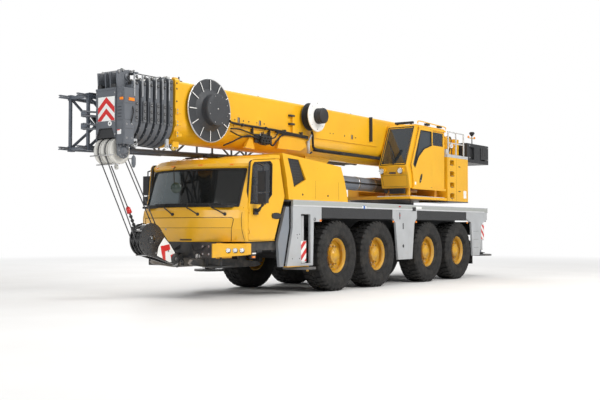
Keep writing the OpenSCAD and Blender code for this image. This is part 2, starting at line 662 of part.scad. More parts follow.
module turntable() {
  color([0.95, 0.68, 0.05]) {
    difference() {
      union() {
        translate([0, slew_y, deck_top + ring_h + seat_gap]) cylinder(h = 90, r = slew_ring_r - 20, $fn = 96);
        // Platform with the wing that carries the crane cab
        box([-1150, slew_y - 600, platform_z[0]], [1150, slew_y + box_rear, platform_z[1]]);
        box([400, slew_y - 760, platform_z[0]], [crane_cab_out + 20, slew_y + 1200, platform_z[0] + 60]);
        both_sides() translate([cheek_x, 0, 0]) across(cheek_t, false) polygon(from_slew(cheek_line));
        both_sides() x_bar(cheek_x, cheek_x + 110, pivot_y, pivot_z, pivot_pin_r + 60);
        // Foot of the luffing cylinder
        both_sides() translate([105, 0, 0]) across(60, false) polygon(from_slew(
          [[500, platform_z[1] - 1], [1050, platform_z[1] - 1], [900, foot_z + 130], [640, foot_z + 130]]));
        // Left side box with its four steps, and the lower box on the right
        box([cheek_x, slew_y + box_front, 2005], [crane_cab_out, slew_y + box_rear, 3250]);
        box([-crane_cab_out, slew_y + 400, 1970], [-cheek_x, slew_y + box_rear, 2650]);
        // Seats under the crane cab
        for (y = [-500, 900])
          box([600, slew_y + y - 60, platform_z[0]], [1100, slew_y + y + 60, crane_cab_z - seat_gap]);
      }
      both_sides() x_bar(cheek_x - 1, cheek_x + 126, pivot_y, pivot_z, pivot_pin_r + shaft_gap);
      both_sides() x_bar(cheek_x - 1, cheek_x + cheek_t + 1, winch_y, winch_z, 80 + shaft_gap);
      both_sides() x_bar(104, 166, slew_y + foot_back, foot_z, 60 + shaft_gap);
      for (z = step_z)
        box([crane_cab_out - 130, slew_y + 1430, z - 65], [crane_cab_out + 1, slew_y + 1680, z + 65]);
      // Room for the boom's end and the cylinder between the cheeks
      box([-cheek_x, slew_y + 1500, platform_z[1] + 10], [cheek_x, slew_y + 3800, 3900]);
    }
    // Hand rails on the left box
    for (x = [cheek_x + 180, crane_cab_out - 70]) {
      for (y = [1460, 1920, 2380]) lattice_bar([x, slew_y + y, 3245], [x, slew_y + y, 3855], 20);
      for (z = [3560, 3850]) lattice_bar([x, slew_y + 1448, z], [x, slew_y + 2392, z], 16);
    }
    // Brackets of the crane cab's tilting pins
    for (x = tilt_lug_x) {
      box([x - 30, tilt_y, tilt_z - 35], [x + 30, slew_y + box_front + 1, tilt_z + 35]);
      x_bar(x - 30, x + 30, tilt_y, tilt_z, 35);
      x_bar(x - 100, x + 30, tilt_y, tilt_z, tilt_pin_r);
    }
    box([cheek_x, slew_y + box_front + 20, 3240],
        [crane_cab_out - 40, slew_y + box_front + 130, tilt_z + 35]);
  }
}
tilt_y = slew_y + box_front - 45;
tilt_z = 3350;
tilt_pin_r = 15;
tilt_lug_x = [700, 1080];

module counterweight() {
  half = counterweight_w / 2;
  inner = cheek_x + cheek_t + seat_gap;
  color([0.06, 0.06, 0.065]) {
    difference() {
      box([-half, slew_y + 2560, counterweight_z + seat_gap],
          [half, tail_y, counterweight_z + counterweight_h]);
      box([-inner, slew_y + 2559, counterweight_z - 1],
          [inner, slew_y + 3450, counterweight_z + counterweight_h + 1]);
      // Recessed pockets in the sides
      both_sides() for (y = [2700, 3400])
        box([half - 60, slew_y + y, counterweight_z + 90],
            [half + 1, slew_y + y + 320, counterweight_z + 430]);
    }
    // Lifting lug
    box([-60, tail_y - 220, counterweight_z + counterweight_h - 1],
        [60, tail_y - 120, counterweight_z + counterweight_h + 110]);
  }
}
module hoist_drum() {
  color([0.9, 0.66, 0.08]) {
    x_bar(5 - cheek_x - cheek_t, cheek_x + cheek_t - 5, winch_y, winch_z, 80);
    x_bar(-cheek_x + 20, cheek_x - 20, winch_y, winch_z, winch_r - 90);
    for (x = [-cheek_x + 20, cheek_x - 50]) x_bar(x, x + 30, winch_y, winch_z, winch_r);
  }
}

// ---------- Crane cab ----------
crane_rear_y = slew_y + crane_cab_back;
crane_front = [[-660, crane_cab_z], [-750, 2650], [-830, 2830], [-345, crane_cab_top]];
crane_side = concat(crane_front, [[crane_cab_back, crane_cab_top], [crane_cab_back, crane_cab_z]]);
// Depth of the rails that the sliding door runs in, outside the cab's wall
crane_rail_t = 45;
crane_w = crane_cab_out - crane_rail_t - crane_cab_in;
crane_inside = [[-660 + crane_wall, crane_cab_z + crane_wall], [-745 + crane_wall, 2650],
                [-820 + crane_wall, 2830], [-330 + crane_wall, crane_cab_top - crane_wall],
                [crane_cab_back - crane_wall, crane_cab_top - crane_wall],
                [crane_cab_back - crane_wall, crane_cab_z + crane_wall]];
// Sliding door: [back from the slewing centre, height]
crane_door = [[-515, crane_cab_z + 30], [460, crane_cab_z + 30], [460, 3800], [-230, 3800], [-640, 2860],
              [-560, 2640]];
crane_door_window = [[-480, 2800], [-300, 3070], [0, 3290], [390, 3400], [390, 3740], [-170, 3740],
                     [-560, 2880]];
rear_window = [[530, 3420], [1120, 3420], [1120, 3760], [530, 3760]];
inner_window = [[-560, 2920], [1050, 2920], [1050, 3740], [-190, 3740]];
doorway = [[-440, crane_cab_z + 90], [400, crane_cab_z + 90], [400, 3750], [-190, 3750], [-560, 2860],
           [-490, 2640]];
front_window_z = [2890, 3790];

module crane_cab() {
  x0 = crane_cab_in;
  x1 = crane_cab_in + crane_w;
  mid_x = (x0 + x1) / 2;
  color([0.95, 0.68, 0.05]) {
    difference() {
      translate([x0, 0, 0]) across(crane_w, false) polygon(from_slew(crane_side));
      translate([x0 + crane_wall, 0, 0]) across(crane_w - 2 * crane_wall, false)
        polygon(from_slew(crane_inside));
      // Front window, then the window and the doorway in the left wall
      box([x0 + 60, slew_y - 900, front_window_z[0]], [x1 - 60, slew_y - 280, front_window_z[1]]);
      for (opening = [rear_window, doorway])
        translate([x1 - crane_wall - 1, 0, 0]) across(crane_wall + 2, false) polygon(from_slew(opening));
      // Windows in the right and the rear wall
      translate([x0 - 1, 0, 0]) across(crane_wall + 2, false) polygon(from_slew(inner_window));
      box([x0 + 120, crane_rear_y - crane_wall - 1, 3420], [x1 - 120, crane_rear_y + 1, 3760]);
    }
    // Rails that the door runs in
    box([x1 - 1, slew_y - 560, crane_cab_z - 20], [crane_cab_out, crane_rear_y, crane_cab_z + 30 - seat_gap]);
    box([x1 - 1, slew_y - 250, 3800 + seat_gap], [crane_cab_out, crane_rear_y, 3845]);
    // Lugs of the tilting pins
    for (x = tilt_lug_x) difference() {
      union() {
        box([x - 95, crane_rear_y - 1, tilt_z - 35], [x - 35, tilt_y, tilt_z + 35]);
        x_bar(x - 95, x - 35, tilt_y, tilt_z, 35);
      }
      x_bar(x - 101, x - 29, tilt_y, tilt_z, tilt_pin_r + shaft_gap);
    }
    // Seat and the two control arms
    seat(mid_x, slew_y + 480, crane_cab_z + crane_wall - 1);
    for (x = [mid_x - 300, mid_x + 300])
      box([x - 45, slew_y + 150, crane_cab_z + crane_wall - 1], [x + 45, slew_y + 560, crane_cab_z + 620]);
    // Head lamps under the front window
    for (x = [x0 + 130, x1 - 130])
      translate([x, slew_y - 740, 2730]) rotate([90, 0, 0]) cylinder(h = 120, r = 60);
  }
}
module crane_cab_glass() {
  g = seat_gap;
  x0 = crane_cab_in;
  x1 = crane_cab_in + crane_w;
  color([0.25, 0.33, 0.37, 0.5]) {
    intersection() {
      translate([x0, 0, 0]) across(crane_w, false) polygon(from_slew(
        [[-824, 2830], [-339, crane_cab_top], [-325, crane_cab_top], [-810, 2830]]));
      box([x0 + 60 + g, slew_y - 900, front_window_z[0] + g],
          [x1 - 60 - g, slew_y - 280, front_window_z[1] - g]);
    }
    translate([x1 - 20, 0, 0]) across(pane_t, false) polygon(from_slew(drawn_in(rear_window, [825, 3590])));
    translate([x0 + 12, 0, 0]) across(pane_t, false) polygon(from_slew(drawn_in(inner_window, [400, 3330])));
    box([x0 + 120 + g, crane_rear_y - 20, 3420 + g], [x1 - 120 - g, crane_rear_y - 20 + pane_t, 3760 - g]);
  }
}
module crane_cab_door() {
  g = seat_gap;
  x0 = crane_cab_out - 38;
  color([0.95, 0.68, 0.05]) {
    difference() {
      translate([x0, 0, 0]) across(36, false) polygon(from_slew(crane_door));
      translate([x0 - 1, 0, 0]) across(38, false) polygon(from_slew(crane_door_window));
    }
    translate([x0 + 14, 0, 0]) across(pane_t, false)
      polygon(from_slew(drawn_in(crane_door_window, [-50, 3380])));
  }
}

// ---------- Boom ----------
boom_front_y = pivot_y - boom_reach;
base_low = pivot_z + boom_top - boom_h;
// Rear end, front end and length of each sliding section
function section_w(k) = boom_w - 2 * k * section_step;
function section_h(k) = boom_h - 2 * k * section_step;
function section_low(k) = base_low + k * section_step;
function collar_front(k) = boom_front_y - k * collar_pitch;
function collar_top(k) = pivot_z + boom_top + collar_rise - 30 * k;
function collar_low(k) = base_low - collar_drop + (k == 0 ? 25 : 4 * k);
function section_rear(k) = collar_front(1) + section_len - (k - 1) * 90;

// A boom section's outline with its round belly: [x, z], standing on z = 0
module section_outline(width, height) {
  r = width / 2;
  rc = 60;
  translate([0, r]) circle(r = r);
  translate([-r, r]) square([width, height - r - rc]);
  translate([-r + rc, r]) square([width - 2 * rc, height - r]);
  for (s = [-1, 1]) translate([s * (r - rc), height - rc]) circle(r = rc);
}
module section_tube(width, height, low, y0, y1, wall) {
  lengthways(y0, y1) translate([0, low]) difference() {
    section_outline(width, height);
    translate([0, wall]) section_outline(width - 2 * wall, height - 2 * wall);
  }
}
// A collar with the pads that the next section slides on
module collar(k) {
  y0 = collar_front(k);
  y1 = y0 + collar_t;
  inner_w = section_w(k + 1);
  inner_low = section_low(k + 1);
  difference() {
    lengthways(y0, y1) translate([0, collar_low(k)])
      section_outline(collar_w - 10 * k, collar_top(k) - collar_low(k));
    lengthways(y0 - 1, y1 + 1) translate([0, inner_low - pass_gap])
      section_outline(inner_w + 2 * pass_gap, section_h(k + 1) + 2 * pass_gap);
  }
  // Side pads and the bottom pad
  for (s = [-1, 1]) on_side(s)
    box([inner_w / 2 + seat_gap, y0 + 10, pivot_z], [inner_w / 2 + pass_gap + 4, y1 - 10, pivot_z + 260]);
  box([-70, y0 + 10, inner_low - pass_gap - 14], [70, y1 - 10, inner_low - seat_gap]);
}
module boom_base() {
  color([0.95, 0.68, 0.05]) {
    section_tube(boom_w, boom_h, base_low, boom_front_y + collar_t - 1, pivot_y + boom_tail, boom_wall);
    collar(0);
    // Thick ends around the pivot pins
    both_sides() x_bar(boom_w / 2 - 60, boom_w / 2 + 2, pivot_y, pivot_z, pivot_pin_r + 70);
    both_sides() x_bar(boom_w / 2 - 60, cheek_x + 120, pivot_y, pivot_z, pivot_pin_r);
    // End plate
    box([-boom_w / 2 + 2, pivot_y + boom_tail - 1, base_low + boom_w / 2],
        [boom_w / 2 - 2, pivot_y + boom_tail + 19, base_low + boom_h - 80]);
    // Brackets of the luffing cylinder's rod
    both_sides() difference() {
      translate([rod_bracket_x, 0, 0]) across(45, false) polygon([
        [rod_pin_y - 130, rod_pin_z - 100], [rod_pin_y + 130, rod_pin_z - 100],
        [rod_pin_y + 850, base_low + 40], [rod_pin_y - 160, base_low + 40]]);
      x_bar(rod_bracket_x - 1, rod_bracket_x + 46, rod_pin_y, rod_pin_z, rod_eye_bore);
    }
    // Brackets of both reels and the jib
    box([boom_w / 2 - 1, hose_y - 120, hose_z - 120], [boom_w / 2 + 30, hose_y + 120, hose_z + 120]);
    x_bar(boom_w / 2, boom_w / 2 + 90, hose_y, hose_z, 60);
    box([boom_w / 2 - 1, cable_y - 100, cable_z - 100], [boom_w / 2 + 30, cable_y + 100, cable_z + 100]);
    x_bar(boom_w / 2, boom_w / 2 + 90, cable_y, cable_z, 40);
    // Arms that the stowed jib's upper chord leans on
    for (i = [2, 5]) {
      chord = jib_corner(i, 1, 1);
      box([chord[0] + jib_chord_r + seat_gap, chord[1] + 90, chord[2] - 30],
          [-boom_w / 2 + 1, chord[1] + 150, chord[2] + 30]);
    }
    // Cable track along the left side
    box([boom_w / 2 - 1, boom_front_y + 1700, pivot_z + 20],
        [boom_w / 2 + 24, boom_front_y + 7150, pivot_z + 65]);
  }
}
rod_pin_y = pivot_y - rod_pin_reach;
rod_bracket_x = 115;
rod_eye_bore = 60;
hose_y = boom_front_y + 930;
hose_z = 3545;
cable_y = boom_front_y + 4250;
cable_z = 3760;

// Tube of a sliding section, with the pad at its rear end on the floor of the section outside
module sliding_tube(k) {
  gap = section_step - boom_wall;
  section_tube(section_w(k), section_h(k), section_low(k), collar_front(k) + collar_t - 1, section_rear(k),
               boom_wall);
  lengthways(section_rear(k) - 300, section_rear(k) - 60) intersection() {
    translate([0, section_low(k) - gap + seat_gap])
      section_outline(section_w(k) + 2 * (gap - seat_gap), section_h(k) + 2 * (gap - seat_gap));
    translate([-60, section_low(k) - gap]) square([120, gap + 8]);
  }
}
module boom_section(k) {
  color([0.33, 0.36, 0.4]) {
    sliding_tube(k);
    collar(k);
  }
}
// Innermost section with the boom head
head_front_y = collar_front(6) - head_len;
lower_sheave = [head_front_y + 145, 2650];
upper_sheave = [head_front_y + 260, 3950];
module boom_head() {
  x = head_w / 2;
  y0 = head_front_y;
  y1 = collar_front(6) + 1;
  color([0.33, 0.36, 0.4]) {
    sliding_tube(6);
    // Rear flange of the head
    lengthways(collar_front(6), collar_front(6) + collar_t) translate([0, collar_low(6)])
      section_outline(collar_w - 60, collar_top(6) - collar_low(6));
    difference() {
      box([-x, y0, 2870], [x, y1, 3730]);
      lengthways(y0 - 1, y1 - 60) polygon([[-x + 25, 2869], [x - 25, 2869], [x - 90, 3035], [-x + 90, 3035]]);
    }
    // Side box on the left
    box([x - 1, y0 + 20, 2760], [x + 180, y1, 3730]);
    // Cheeks of the upper and the lower sheaves
    for (sx = [-x, -60, 60, x - 25]) {
      translate([sx, 0, 0]) across(25, false) polygon([
        [y0 + 40, 3720], [y1 + 100, 3720], [y1 + 60, 4080], [y0 + 20, 4020]]);
    }
    both_sides() translate([x, 0, 0]) across(30, false) polygon([[y0 + 30, 2880], [y1 + 60, 2880],
      [lower_sheave[0] + 110, 2560], [lower_sheave[0] - 110, 2560]]);
    // Sheaves on their shafts
    x_bar(-x - 60, x + 90, lower_sheave[0], lower_sheave[1], 45);
    for (i = [-2:2]) x_bar(i * 86 - 33, i * 86 + 33, lower_sheave[0], lower_sheave[1], head_sheave_r);
    x_bar(-x, x, upper_sheave[0], upper_sheave[1], 35);
    for (sx = [-150, 110]) x_bar(sx, sx + 50, upper_sheave[0], upper_sheave[1], 110);
    // Lugs that hold the jib's hinge pins
    for (z = jib_pin_z) translate([-jib_hinge_x, jib_hinge_y, z]) {
      for (dz = [-50, 26]) translate([0, 0, dz]) {
        cylinder(h = 24, r = jib_eye_r);
        linear_extrude(height = 24) polygon([
          [-30, -40], [40, -40], [jib_hinge_x - x + 20, y0 + 20 - jib_hinge_y],
          [jib_hinge_x - x + 20, y0 + 120 - jib_hinge_y], [-30, 45]]);
      }
      translate([0, 0, -60]) cylinder(h = 120, r = jib_pin_r);
    }
  }
}
// Jib: its middle when stowed, its front frame, and the hinge it swings about on the right of the head
jib_in = 470;
jib_low = 2735;
jib_chord_r = 34;
jib_mid_x = -(jib_in + jib_w / 2 + jib_chord_r);
jib_hinge_x = -jib_mid_x / 2;
jib_front_y = head_front_y + 50;
jib_fork_y = head_front_y - jib_fork;
jib_hinge_y = (jib_fork_y + head_front_y - jib_swing_gap) / 2;
jib_pin_r = 30;
jib_eye_r = 58;
jib_pin_z = [jib_low + 350, jib_low + 570];

// ---------- Reels ----------
module hose_reel() {
  x0 = boom_w / 2 + 50;
  hub_r = hose_reel_r - 300;
  color([0.13, 0.14, 0.15]) difference() {
    union() {
      x_bar(x0, x0 + 22, hose_y, hose_z, hose_reel_r);
      translate([x0 + 20, hose_y, hose_z]) rotate([0, 90, 0])
        cylinder(h = 60, r1 = hose_reel_r - 190, r2 = hub_r);
      x_bar(x0 + 79, x0 + 240, hose_y, hose_z, hub_r);
      for (a = [0:30:330]) translate([x0 + 21, hose_y, hose_z]) rotate([a, 0, 0])
        box([0, -8, hub_r + 60], [14, 8, hose_reel_r - 10]);
    }
    x_bar(x0 - 1, x0 + 50, hose_y, hose_z, 60 + shaft_gap);
  }
}
module cable_reel() {
  x0 = boom_w / 2 + 40;
  color([0.13, 0.14, 0.15]) difference() {
    union() {
      x_bar(x0, x0 + 190, cable_y, cable_z, cable_reel_r - 60);
      x_bar(x0 + 189, x0 + 212, cable_y, cable_z, cable_reel_r);
      x_bar(x0 + 211, x0 + 400, cable_y, cable_z, 160);
    }
    x_bar(x0 - 1, x0 + 60, cable_y, cable_z, 40 + shaft_gap);
  }
}

// ---------- Luffing cylinder ----------
foot_y = slew_y + foot_back;
cylinder_len = norm([foot_y - rod_pin_y, rod_pin_z - foot_z]);
cylinder_tilt = atan2(rod_pin_z - foot_z, foot_y - rod_pin_y);
// Lays a shape drawn along +Y from the rod's pin on the line from the foot to the pin
module along_cylinder() {
  translate([0, foot_y, foot_z]) rotate([-cylinder_tilt, 0, 0]) rotate([90, 0, 0]) children();
}
module luffing_barrel() {
  color([0.33, 0.36, 0.4]) difference() {
    union() {
      along_cylinder() translate([0, 0, 240]) cylinder(h = 3290, r = barrel_r);
      along_cylinder() translate([0, 0, 3529]) cylinder(h = 80, r = barrel_r + 2);
      x_bar(-95, 95, foot_y, foot_z, 115);
      along_cylinder() translate([-95, -100, 0]) cube([190, 200, 260]);
      x_bar(-170, 170, foot_y, foot_z, 60);
    }
    along_cylinder() translate([0, 0, 280]) cylinder(h = 3250, r = barrel_r - 25);
    along_cylinder() translate([0, 0, 3500]) cylinder(h = 200, r = rod_r + shaft_gap);
  }
}
module luffing_rod() {
  color([0.6, 0.62, 0.64]) {
    along_cylinder() translate([0, 0, 400]) cylinder(h = cylinder_len - 480, r = rod_r);
    along_cylinder() translate([0, 0, 400]) cylinder(h = 120, r = barrel_r - 26);
    difference() {
      x_bar(-90, 90, rod_pin_y, rod_pin_z, 125);
      x_bar(-91, 91, rod_pin_y, rod_pin_z, rod_eye_bore + 1);
    }
  }
}

// ---------- Lattice jib ----------
jib_rear_y = jib_front_y + jib_len;
jib_bays = 8;
// Half width and half height of the jib at station i
function jib_y(i) = jib_front_y + i * jib_len / jib_bays;
function jib_half_w(i) = jib_w / 2 - 60 * i / jib_bays;
function jib_half_h(i) = jib_h / 2 - 240 * i / jib_bays;
jib_mid_z = jib_low + jib_h / 2;
function jib_corner(i, sx, sz) = [jib_mid_x + sx * jib_half_w(i), jib_y(i), jib_mid_z + sz * jib_half_h(i)];
module lattice_jib() {
  color([0.33, 0.36, 0.4]) {
    for (sx = [-1, 1]) for (sz = [-1, 1])
      lattice_bar(jib_corner(0, sx, sz), jib_corner(jib_bays, sx, sz), jib_chord_r);
    for (i = [0:jib_bays]) {
      for (sx = [-1, 1]) lattice_bar(jib_corner(i, sx, -1), jib_corner(i, sx, 1), 22);
      for (sz = [-1, 1]) lattice_bar(jib_corner(i, -1, sz), jib_corner(i, 1, sz), 22);
    }
    for (i = [0:jib_bays - 1]) {
      up = i % 2 == 0 ? 1 : -1;
      for (sx = [-1, 1]) lattice_bar(jib_corner(i, sx, -up), jib_corner(i + 1, sx, up), 20);
      for (sz = [-1, 1]) lattice_bar(jib_corner(i, up, sz), jib_corner(i + 1, -up, sz), 20);
    }
    // Forks at the foot, which pin to the boom head once the jib is swung round
    for (sx = [-1, 1]) for (sz = [-1, 1]) for (dz = [-28, 10]) {
      at = jib_corner(0, sx, sz);
      box([at[0] - 24, jib_fork_y, at[2] + dz], [at[0] + 24, jib_front_y + 38, at[2] + dz + 18]);
    }
    // Eyes on the hinge pins
    for (z = jib_pin_z) difference() {
      union() {
        translate([-jib_hinge_x, jib_hinge_y, z - 20]) cylinder(h = 40, r = jib_eye_r);
        translate([0, 0, z - 20]) linear_extrude(height = 40) polygon([
          [-jib_hinge_x - 20, jib_hinge_y - 40], [-jib_hinge_x + 35, jib_hinge_y + 15],
          [jib_corner(0, 1, 1)[0] + 6, jib_front_y + 10], [jib_corner(0, 1, 1)[0] - 12, jib_front_y - 8]]);
      }
      translate([-jib_hinge_x, jib_hinge_y, z - 21]) cylinder(h = 42, r = jib_pin_r + shaft_gap);
    }
  }
}

// ---------- Hook block ----------
block_y = first_axle_y - 4300;
block_z = 1110;
module hook_block() {
  half = block_w / 2;
  color([0.1, 0.1, 0.11]) {
    both_sides() translate([half - 28, 0, 0]) across(28, false) {
      translate([block_y, block_z]) circle(r = block_r);
      polygon([[block_y - 60, block_z - 290], [block_y + 180, block_z + 235],
               [crosshead[0] + 60, crosshead[1] + 80], [crosshead[0] - 30, crosshead[1] - 95]]);
      translate(crosshead) circle(r = 100);
    }
    for (x = [-84, 12]) x_bar(x, x + 72, block_y, block_z, block_r - 20);
    x_bar(-half - 20, half + 20, block_y, block_z, 50);
    x_bar(-half - 15, half + 15, crosshead[0], crosshead[1], crosshead_r);
    // Hook
    translate([0, crosshead[0], crosshead[1]]) rotate([60, 0, 0]) {
      translate([0, 0, -240]) cylinder(h = 240, r = 36);
      translate([0, 51.5, -289]) rotate([0, 90, 0])
        rotate_extrude(angle = 250) translate([78, 0]) circle(r = 34);
    }
  }
}

chassis_frame();
deck_and_fenders();
carrier_cab();
cab_glass();
front_bumper();
engine_cover();
drivetrain();
cab_door(1);  // door_left
cab_door(-1);  // door_right
knuckle(0, 1);  // knuckle_1_left
knuckle(0, -1);  // knuckle_1_right
knuckle(1, 1);  // knuckle_2_left
knuckle(1, -1);  // knuckle_2_right
knuckle(2, 1);  // knuckle_3_left
knuckle(2, -1);  // knuckle_3_right
knuckle(3, 1);  // knuckle_4_left
knuckle(3, -1);  // knuckle_4_right
rim(0, 1);  // rim_1_left
rim(0, -1);  // rim_1_right
rim(1, 1);  // rim_2_left
rim(1, -1);  // rim_2_right
rim(2, 1);  // rim_3_left
rim(2, -1);  // rim_3_right
rim(3, 1);  // rim_4_left
rim(3, -1);  // rim_4_right
tyre(0, 1);  // tyre_1_left
tyre(0, -1);  // tyre_1_right
tyre(1, 1);  // tyre_2_left
tyre(1, -1);  // tyre_2_right
tyre(2, 1);  // tyre_3_left
tyre(2, -1);  // tyre_3_right
tyre(3, 1);  // tyre_4_left
tyre(3, -1);  // tyre_4_right
outrigger_beam(0, 1);  // outrigger_beam_front_left
outrigger_beam(0, -1);  // outrigger_beam_front_right
outrigger_beam(1, 1);  // outrigger_beam_rear_left
outrigger_beam(1, -1);  // outrigger_beam_rear_right
jack(0, 1);  // jack_front_left
jack(0, -1);  // jack_front_right
jack(1, 1);  // jack_rear_left
jack(1, -1);  // jack_rear_right
turntable();
counterweight();
hoist_drum();
crane_cab();
crane_cab_glass();
crane_cab_door();
boom_base();
boom_section(1);  // boom_section_1
boom_section(2);  // boom_section_2
boom_section(3);  // boom_section_3
boom_section(4);  // boom_section_4
boom_section(5);  // boom_section_5
boom_head();  // boom_section_6
hose_reel();
cable_reel();
luffing_barrel();
luffing_rod();
lattice_jib();
hook_block();
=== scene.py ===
import math

import bmesh
import bpy
from mathutils import Matrix, Vector


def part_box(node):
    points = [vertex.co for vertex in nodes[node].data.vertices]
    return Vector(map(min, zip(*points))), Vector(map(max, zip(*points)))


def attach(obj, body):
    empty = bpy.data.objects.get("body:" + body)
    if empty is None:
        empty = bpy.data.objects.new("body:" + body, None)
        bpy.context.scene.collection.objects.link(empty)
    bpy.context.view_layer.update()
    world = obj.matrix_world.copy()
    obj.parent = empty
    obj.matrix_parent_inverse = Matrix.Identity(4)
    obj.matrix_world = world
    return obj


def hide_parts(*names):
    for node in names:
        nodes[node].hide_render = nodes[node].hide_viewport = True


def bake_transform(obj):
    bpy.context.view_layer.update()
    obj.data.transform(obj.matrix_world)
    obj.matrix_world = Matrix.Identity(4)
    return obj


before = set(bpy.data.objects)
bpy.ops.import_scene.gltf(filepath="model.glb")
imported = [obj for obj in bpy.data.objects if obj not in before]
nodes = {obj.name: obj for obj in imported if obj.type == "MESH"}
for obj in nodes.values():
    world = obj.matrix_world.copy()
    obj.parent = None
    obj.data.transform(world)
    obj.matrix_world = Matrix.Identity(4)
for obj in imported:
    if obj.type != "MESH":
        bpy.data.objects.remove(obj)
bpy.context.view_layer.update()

SIDES = (("left", 1), ("right", -1))
ACROSS, FORE, UP = (1, 0, 0), (0, -1, 0), (0, 0, 1)


def middle(name):
    """The middle of a CAD node's box."""
    lo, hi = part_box(name)
    return (lo + hi) / 2


def circle(n, r, a=0.0, b=0.0, turn=0.0):
    """n pairs of numbers round the point (a, b), turned by a share of one step."""
    angles = [2 * math.pi * (i + turn) / n for i in range(n)]
    return [(a + r * math.cos(t), b + r * math.sin(t)) for t in angles]


# ---------------------------------------------------------------- camera, light, floor
scene = bpy.context.scene
# The view solved from the photo: where it looks from, and the lens on a 36 mm sensor
CAMERA_AT, LENS = (11.851, -17.279, 1.301), 54.5
AZIMUTH, ELEVATION = math.radians(35.66), math.radians(-1.836)
back = Vector((math.sin(AZIMUTH) * math.cos(ELEVATION), -math.cos(AZIMUTH) * math.cos(ELEVATION),
               math.sin(ELEVATION)))
cam_data = bpy.data.cameras.new("camera")
cam = bpy.data.objects.new("camera", cam_data)
scene.collection.objects.link(cam)
cam.location = CAMERA_AT
cam.rotation_mode = "QUATERNION"
cam.rotation_quaternion = (-back).to_track_quat("-Z", "Y")
cam_data.sensor_width = 36.0
cam_data.lens = LENS
cam_data.clip_end = 400
scene.camera = cam

scene.view_settings.view_transform = "Standard"
scene.view_settings.look = "None"


def area_light(name, at, target, size, watts, colour=(1, 1, 1)):
    data = bpy.data.lights.new(name, "AREA")
    data.shape = "RECTANGLE"
    data.size, data.size_y = size
    data.energy = watts
    data.color = colour
    obj = bpy.data.objects.new(name, data)
    scene.collection.objects.link(obj)
    obj.location = at
    obj.rotation_mode = "QUATERNION"
    obj.rotation_quaternion = (Vector(target) - obj.location).to_track_quat("-Z", "Y")


area_light("key", (17, -2, 13), (0, 0, 1.5), (9, 9), 2600, (1.0, 0.985, 0.96))
area_light("front", (2, -22, 9), (0, -3, 2.0), (12, 6), 900, (0.96, 0.98, 1.0))
area_light("top", (0, 2, 16), (0, 0, 2), (18, 12), 1100)
area_light("rim", (-14, 12, 10), (0, 0, 2), (10, 8), 900)

# The world: the camera sees white, and everything else is lit by a soft ramp from the ground to the sky
FILL_STRENGTH = 0.62
GROUND, HORIZON, SKY = (0.55, 0.54, 0.52, 1), (0.42, 0.43, 0.45, 1), (1, 1, 1, 1)
world = bpy.data.worlds.new("studio")
scene.world = world
world.use_nodes = True
wn = world.node_tree
wn.nodes.clear()
w_out, w_fill, w_seen, w_mix, w_path, w_tex, w_sep, w_ramp, w_half = [
    wn.nodes.new(f"ShaderNode{kind}") for kind in
    ("OutputWorld", "Background", "Background", "MixShader", "LightPath", "TexCoord", "SeparateXYZ",
     "ValToRGB", "Math")]
w_seen.inputs["Color"].default_value = SKY
w_seen.inputs["Strength"].default_value = 1.0
w_fill.inputs["Strength"].default_value = FILL_STRENGTH
for stop, at, colour in zip(w_ramp.color_ramp.elements, (0.30, 0.75), (GROUND, SKY)):
    stop.position = at
    stop.color = colour
w_ramp.color_ramp.elements.new(0.52).color = HORIZON
w_half.operation = "MULTIPLY_ADD"
w_half.inputs[1].default_value = w_half.inputs[2].default_value = 0.5
for a, b in ((w_tex.outputs["Generated"], w_sep.inputs[0]), (w_sep.outputs["Z"], w_half.inputs[0]),
             (w_half.outputs[0], w_ramp.inputs[0]), (w_ramp.outputs[0], w_fill.inputs["Color"]),
             (w_path.outputs["Is Camera Ray"], w_mix.inputs[0]), (w_fill.outputs[0], w_mix.inputs[1]),
             (w_seen.outputs[0], w_mix.inputs[2]), (w_mix.outputs[0], w_out.inputs[0])):
    wn.links.new(a, b)

# ---------------------------------------------------------------- materials
DUST = (0.30, 0.26, 0.20)


def tint(c, k):
    return tuple(min(1.0, v * k) for v in c)


